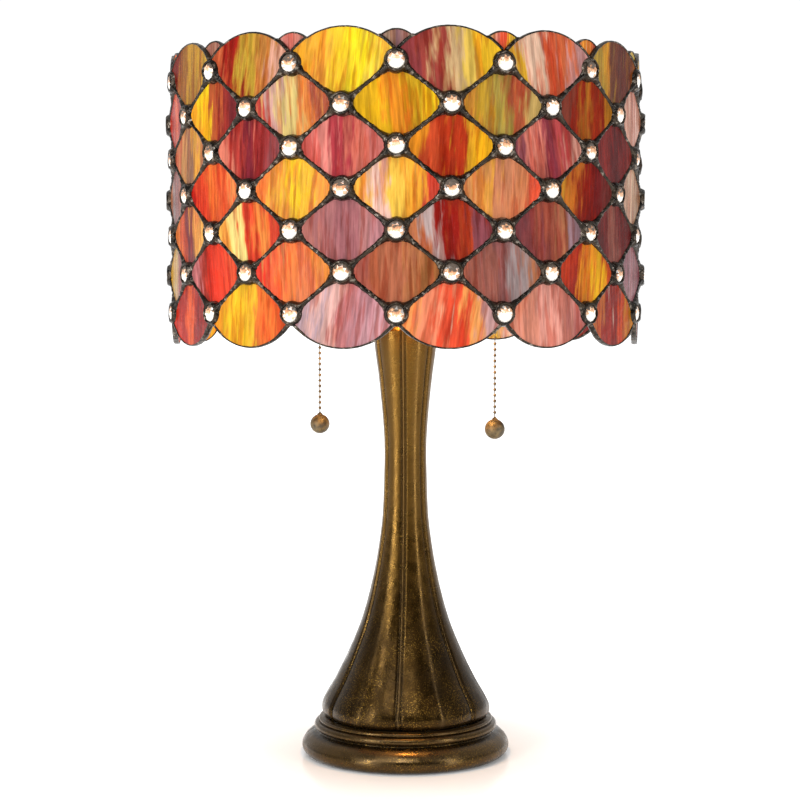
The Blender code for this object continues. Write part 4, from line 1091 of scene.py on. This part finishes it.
def hidden_and_plain():
    """The felt is cut round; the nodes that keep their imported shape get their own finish."""
    low, high, radius = span("felt_pad")
    profile = [(0, high), (radius, high), (radius, low), (0, low)]
    place_piece(turned("felt_disc", profile, 96), "base", "felt", FELT, "felt_pad", crease=35)
    keeps = {
        "foot_weight": IRON, "cover_board": BOARD, "bottom_washer": STEEL, "bottom_nut": STEEL,
        "cap_nut": BRASS, "cluster_nut": BRASS, "threaded_pipe": BRASS, "cord_bushing": RUBBER,
        "inner_wire": JACKET,
    }
    for side in ("right", "left"):
        keeps[f"socket_arm_{side}"] = BRASS
        keeps[f"socket_core_{side}"] = PHENOLIC
        keeps[f"chain_spout_{side}"] = BRASS
        keeps[f"pull_link_{side}"] = OLD_BRASS
    for name, material in keeps.items():
        node = frame["nodes"][name]
        node.data.materials.clear()
        node.data.materials.append(material)


# ---------------------------------------------------------------- studio
CAMERA_PLACE = (0, -1.4445, 0.3479)
CAMERA_LENS = 84.5  # mm, on a sensor 36 mm wide
CAMERA_DOWN = math.radians(2.96)
CAMERA_TURN = 0.0029


def softbox(name, place, aim, size, power):
    """A white rectangle of light at a place, facing the aim, so many metres wide and tall."""
    data = bpy.data.lights.new(name, "AREA")
    data.shape = "RECTANGLE"
    data.size, data.size_y = size
    data.energy = power
    obj = bpy.data.objects.new(name, data)
    obj.location = place
    obj.rotation_euler = (Vector(aim) - Vector(place)).to_track_quat("-Z", "Y").to_euler()
    scene.collection.objects.link(obj)


def studio():
    world = bpy.data.worlds.new("studio")
    scene.world = world
    world.use_nodes = True
    tree = world.node_tree
    tree.nodes.clear()
    seen = add(tree, "ShaderNodeLightPath").outputs["Is Camera Ray"]
    white = add(tree, "ShaderNodeBackground", {"Color": (1, 1, 1, 1), "Strength": 1.05})
    place = add(tree, "ShaderNodeTexCoord").outputs["Generated"]
    up = add(tree, "ShaderNodeSeparateXYZ", {0: place}).outputs["Z"]
    back = add(tree, "ShaderNodeSeparateXYZ", {0: place}).outputs["Y"]
    open_side = maths(tree, "ADD", maths(tree, "MULTIPLY", up, 0.35), back)
    tone = mixed(tree, ramp(tree, open_side, -0.5, 0.9), linear("5a5856"), linear("ffffff"))
    room = add(tree, "ShaderNodeBackground", {"Color": tone, "Strength": 0.75})
    both = add(tree, "ShaderNodeMixShader", {0: seen, 1: room.outputs[0], 2: white.outputs[0]})
    add(tree, "ShaderNodeOutputWorld", {0: both.outputs[0]})

    softbox("left_strip", (-0.95, -1.0, 0.55), (0, 0, 0.2), (0.16, 1.1), 11.5)
    softbox("right_strip", (1.0, -0.75, 0.5), (0, 0, 0.2), (0.2, 1.0), 5)
    softbox("front_top", (-0.25, -1.3, 1.5), (0, 0, 0.35), (0.9, 0.6), 12)
    warmth = bpy.data.lights.new("bulb_glow", "POINT")
    warmth.energy = 1.6
    warmth.shadow_soft_size = 0.03
    warmth.color = linear("ffc476")[:3]
    glow = bpy.data.objects.new("bulb_glow", warmth)
    glow.location = (0, -0.06, row_height(5))
    scene.collection.objects.link(glow)

    floor_shape = bmesh.new()
    bmesh.ops.create_grid(floor_shape, x_segments=2, y_segments=2, size=30)
    floor = object_of("pale_floor", floor_shape)
    made, tree, shader = new_material("white_lacquer_floor", Roughness=0.16)
    shader.inputs["Emission Color"].default_value = (1, 1, 1, 1)
    # The floor glows like a lit cove, less so round the foot: a painted shadow of the lamp.
    from_lamp = add(tree, "ShaderNodeTexCoord").outputs["Object"]
    from_lamp = add(tree, "ShaderNodeVectorMath", {0: from_lamp}, operation="LENGTH").outputs["Value"]
    tree.links.new(ramp(tree, from_lamp, 0.06, 0.28, 0.12, 0.95), shader.inputs["Emission Strength"])
    shade = mixed(tree, grain(tree, 60 * MM, 2.0), linear("f4f3f2"), linear("fafafa"))
    tree.links.new(shade, shader.inputs["Base Color"])
    floor.data.materials.append(made)
    floor.location.z = -0.0002

    data = bpy.data.cameras.new("camera")
    data.sensor_width = 36
    data.lens = CAMERA_LENS
    camera = bpy.data.objects.new("camera", data)
    camera.location = CAMERA_PLACE
    camera.rotation_euler = (math.pi / 2 - CAMERA_DOWN, 0, CAMERA_TURN)
    scene.collection.objects.link(camera)
    scene.camera = camera
    scene.view_settings.view_transform = "Standard"


rng = random.Random(PANE_SEED)
for row in range(ROWS):
    glass_row(row, rng)
lattice()
stones()
column()
foot()
centre_fittings()
for side in ("right", "left"):
    socket_set(side)
    pull(side)
hidden_and_plain()
studio()
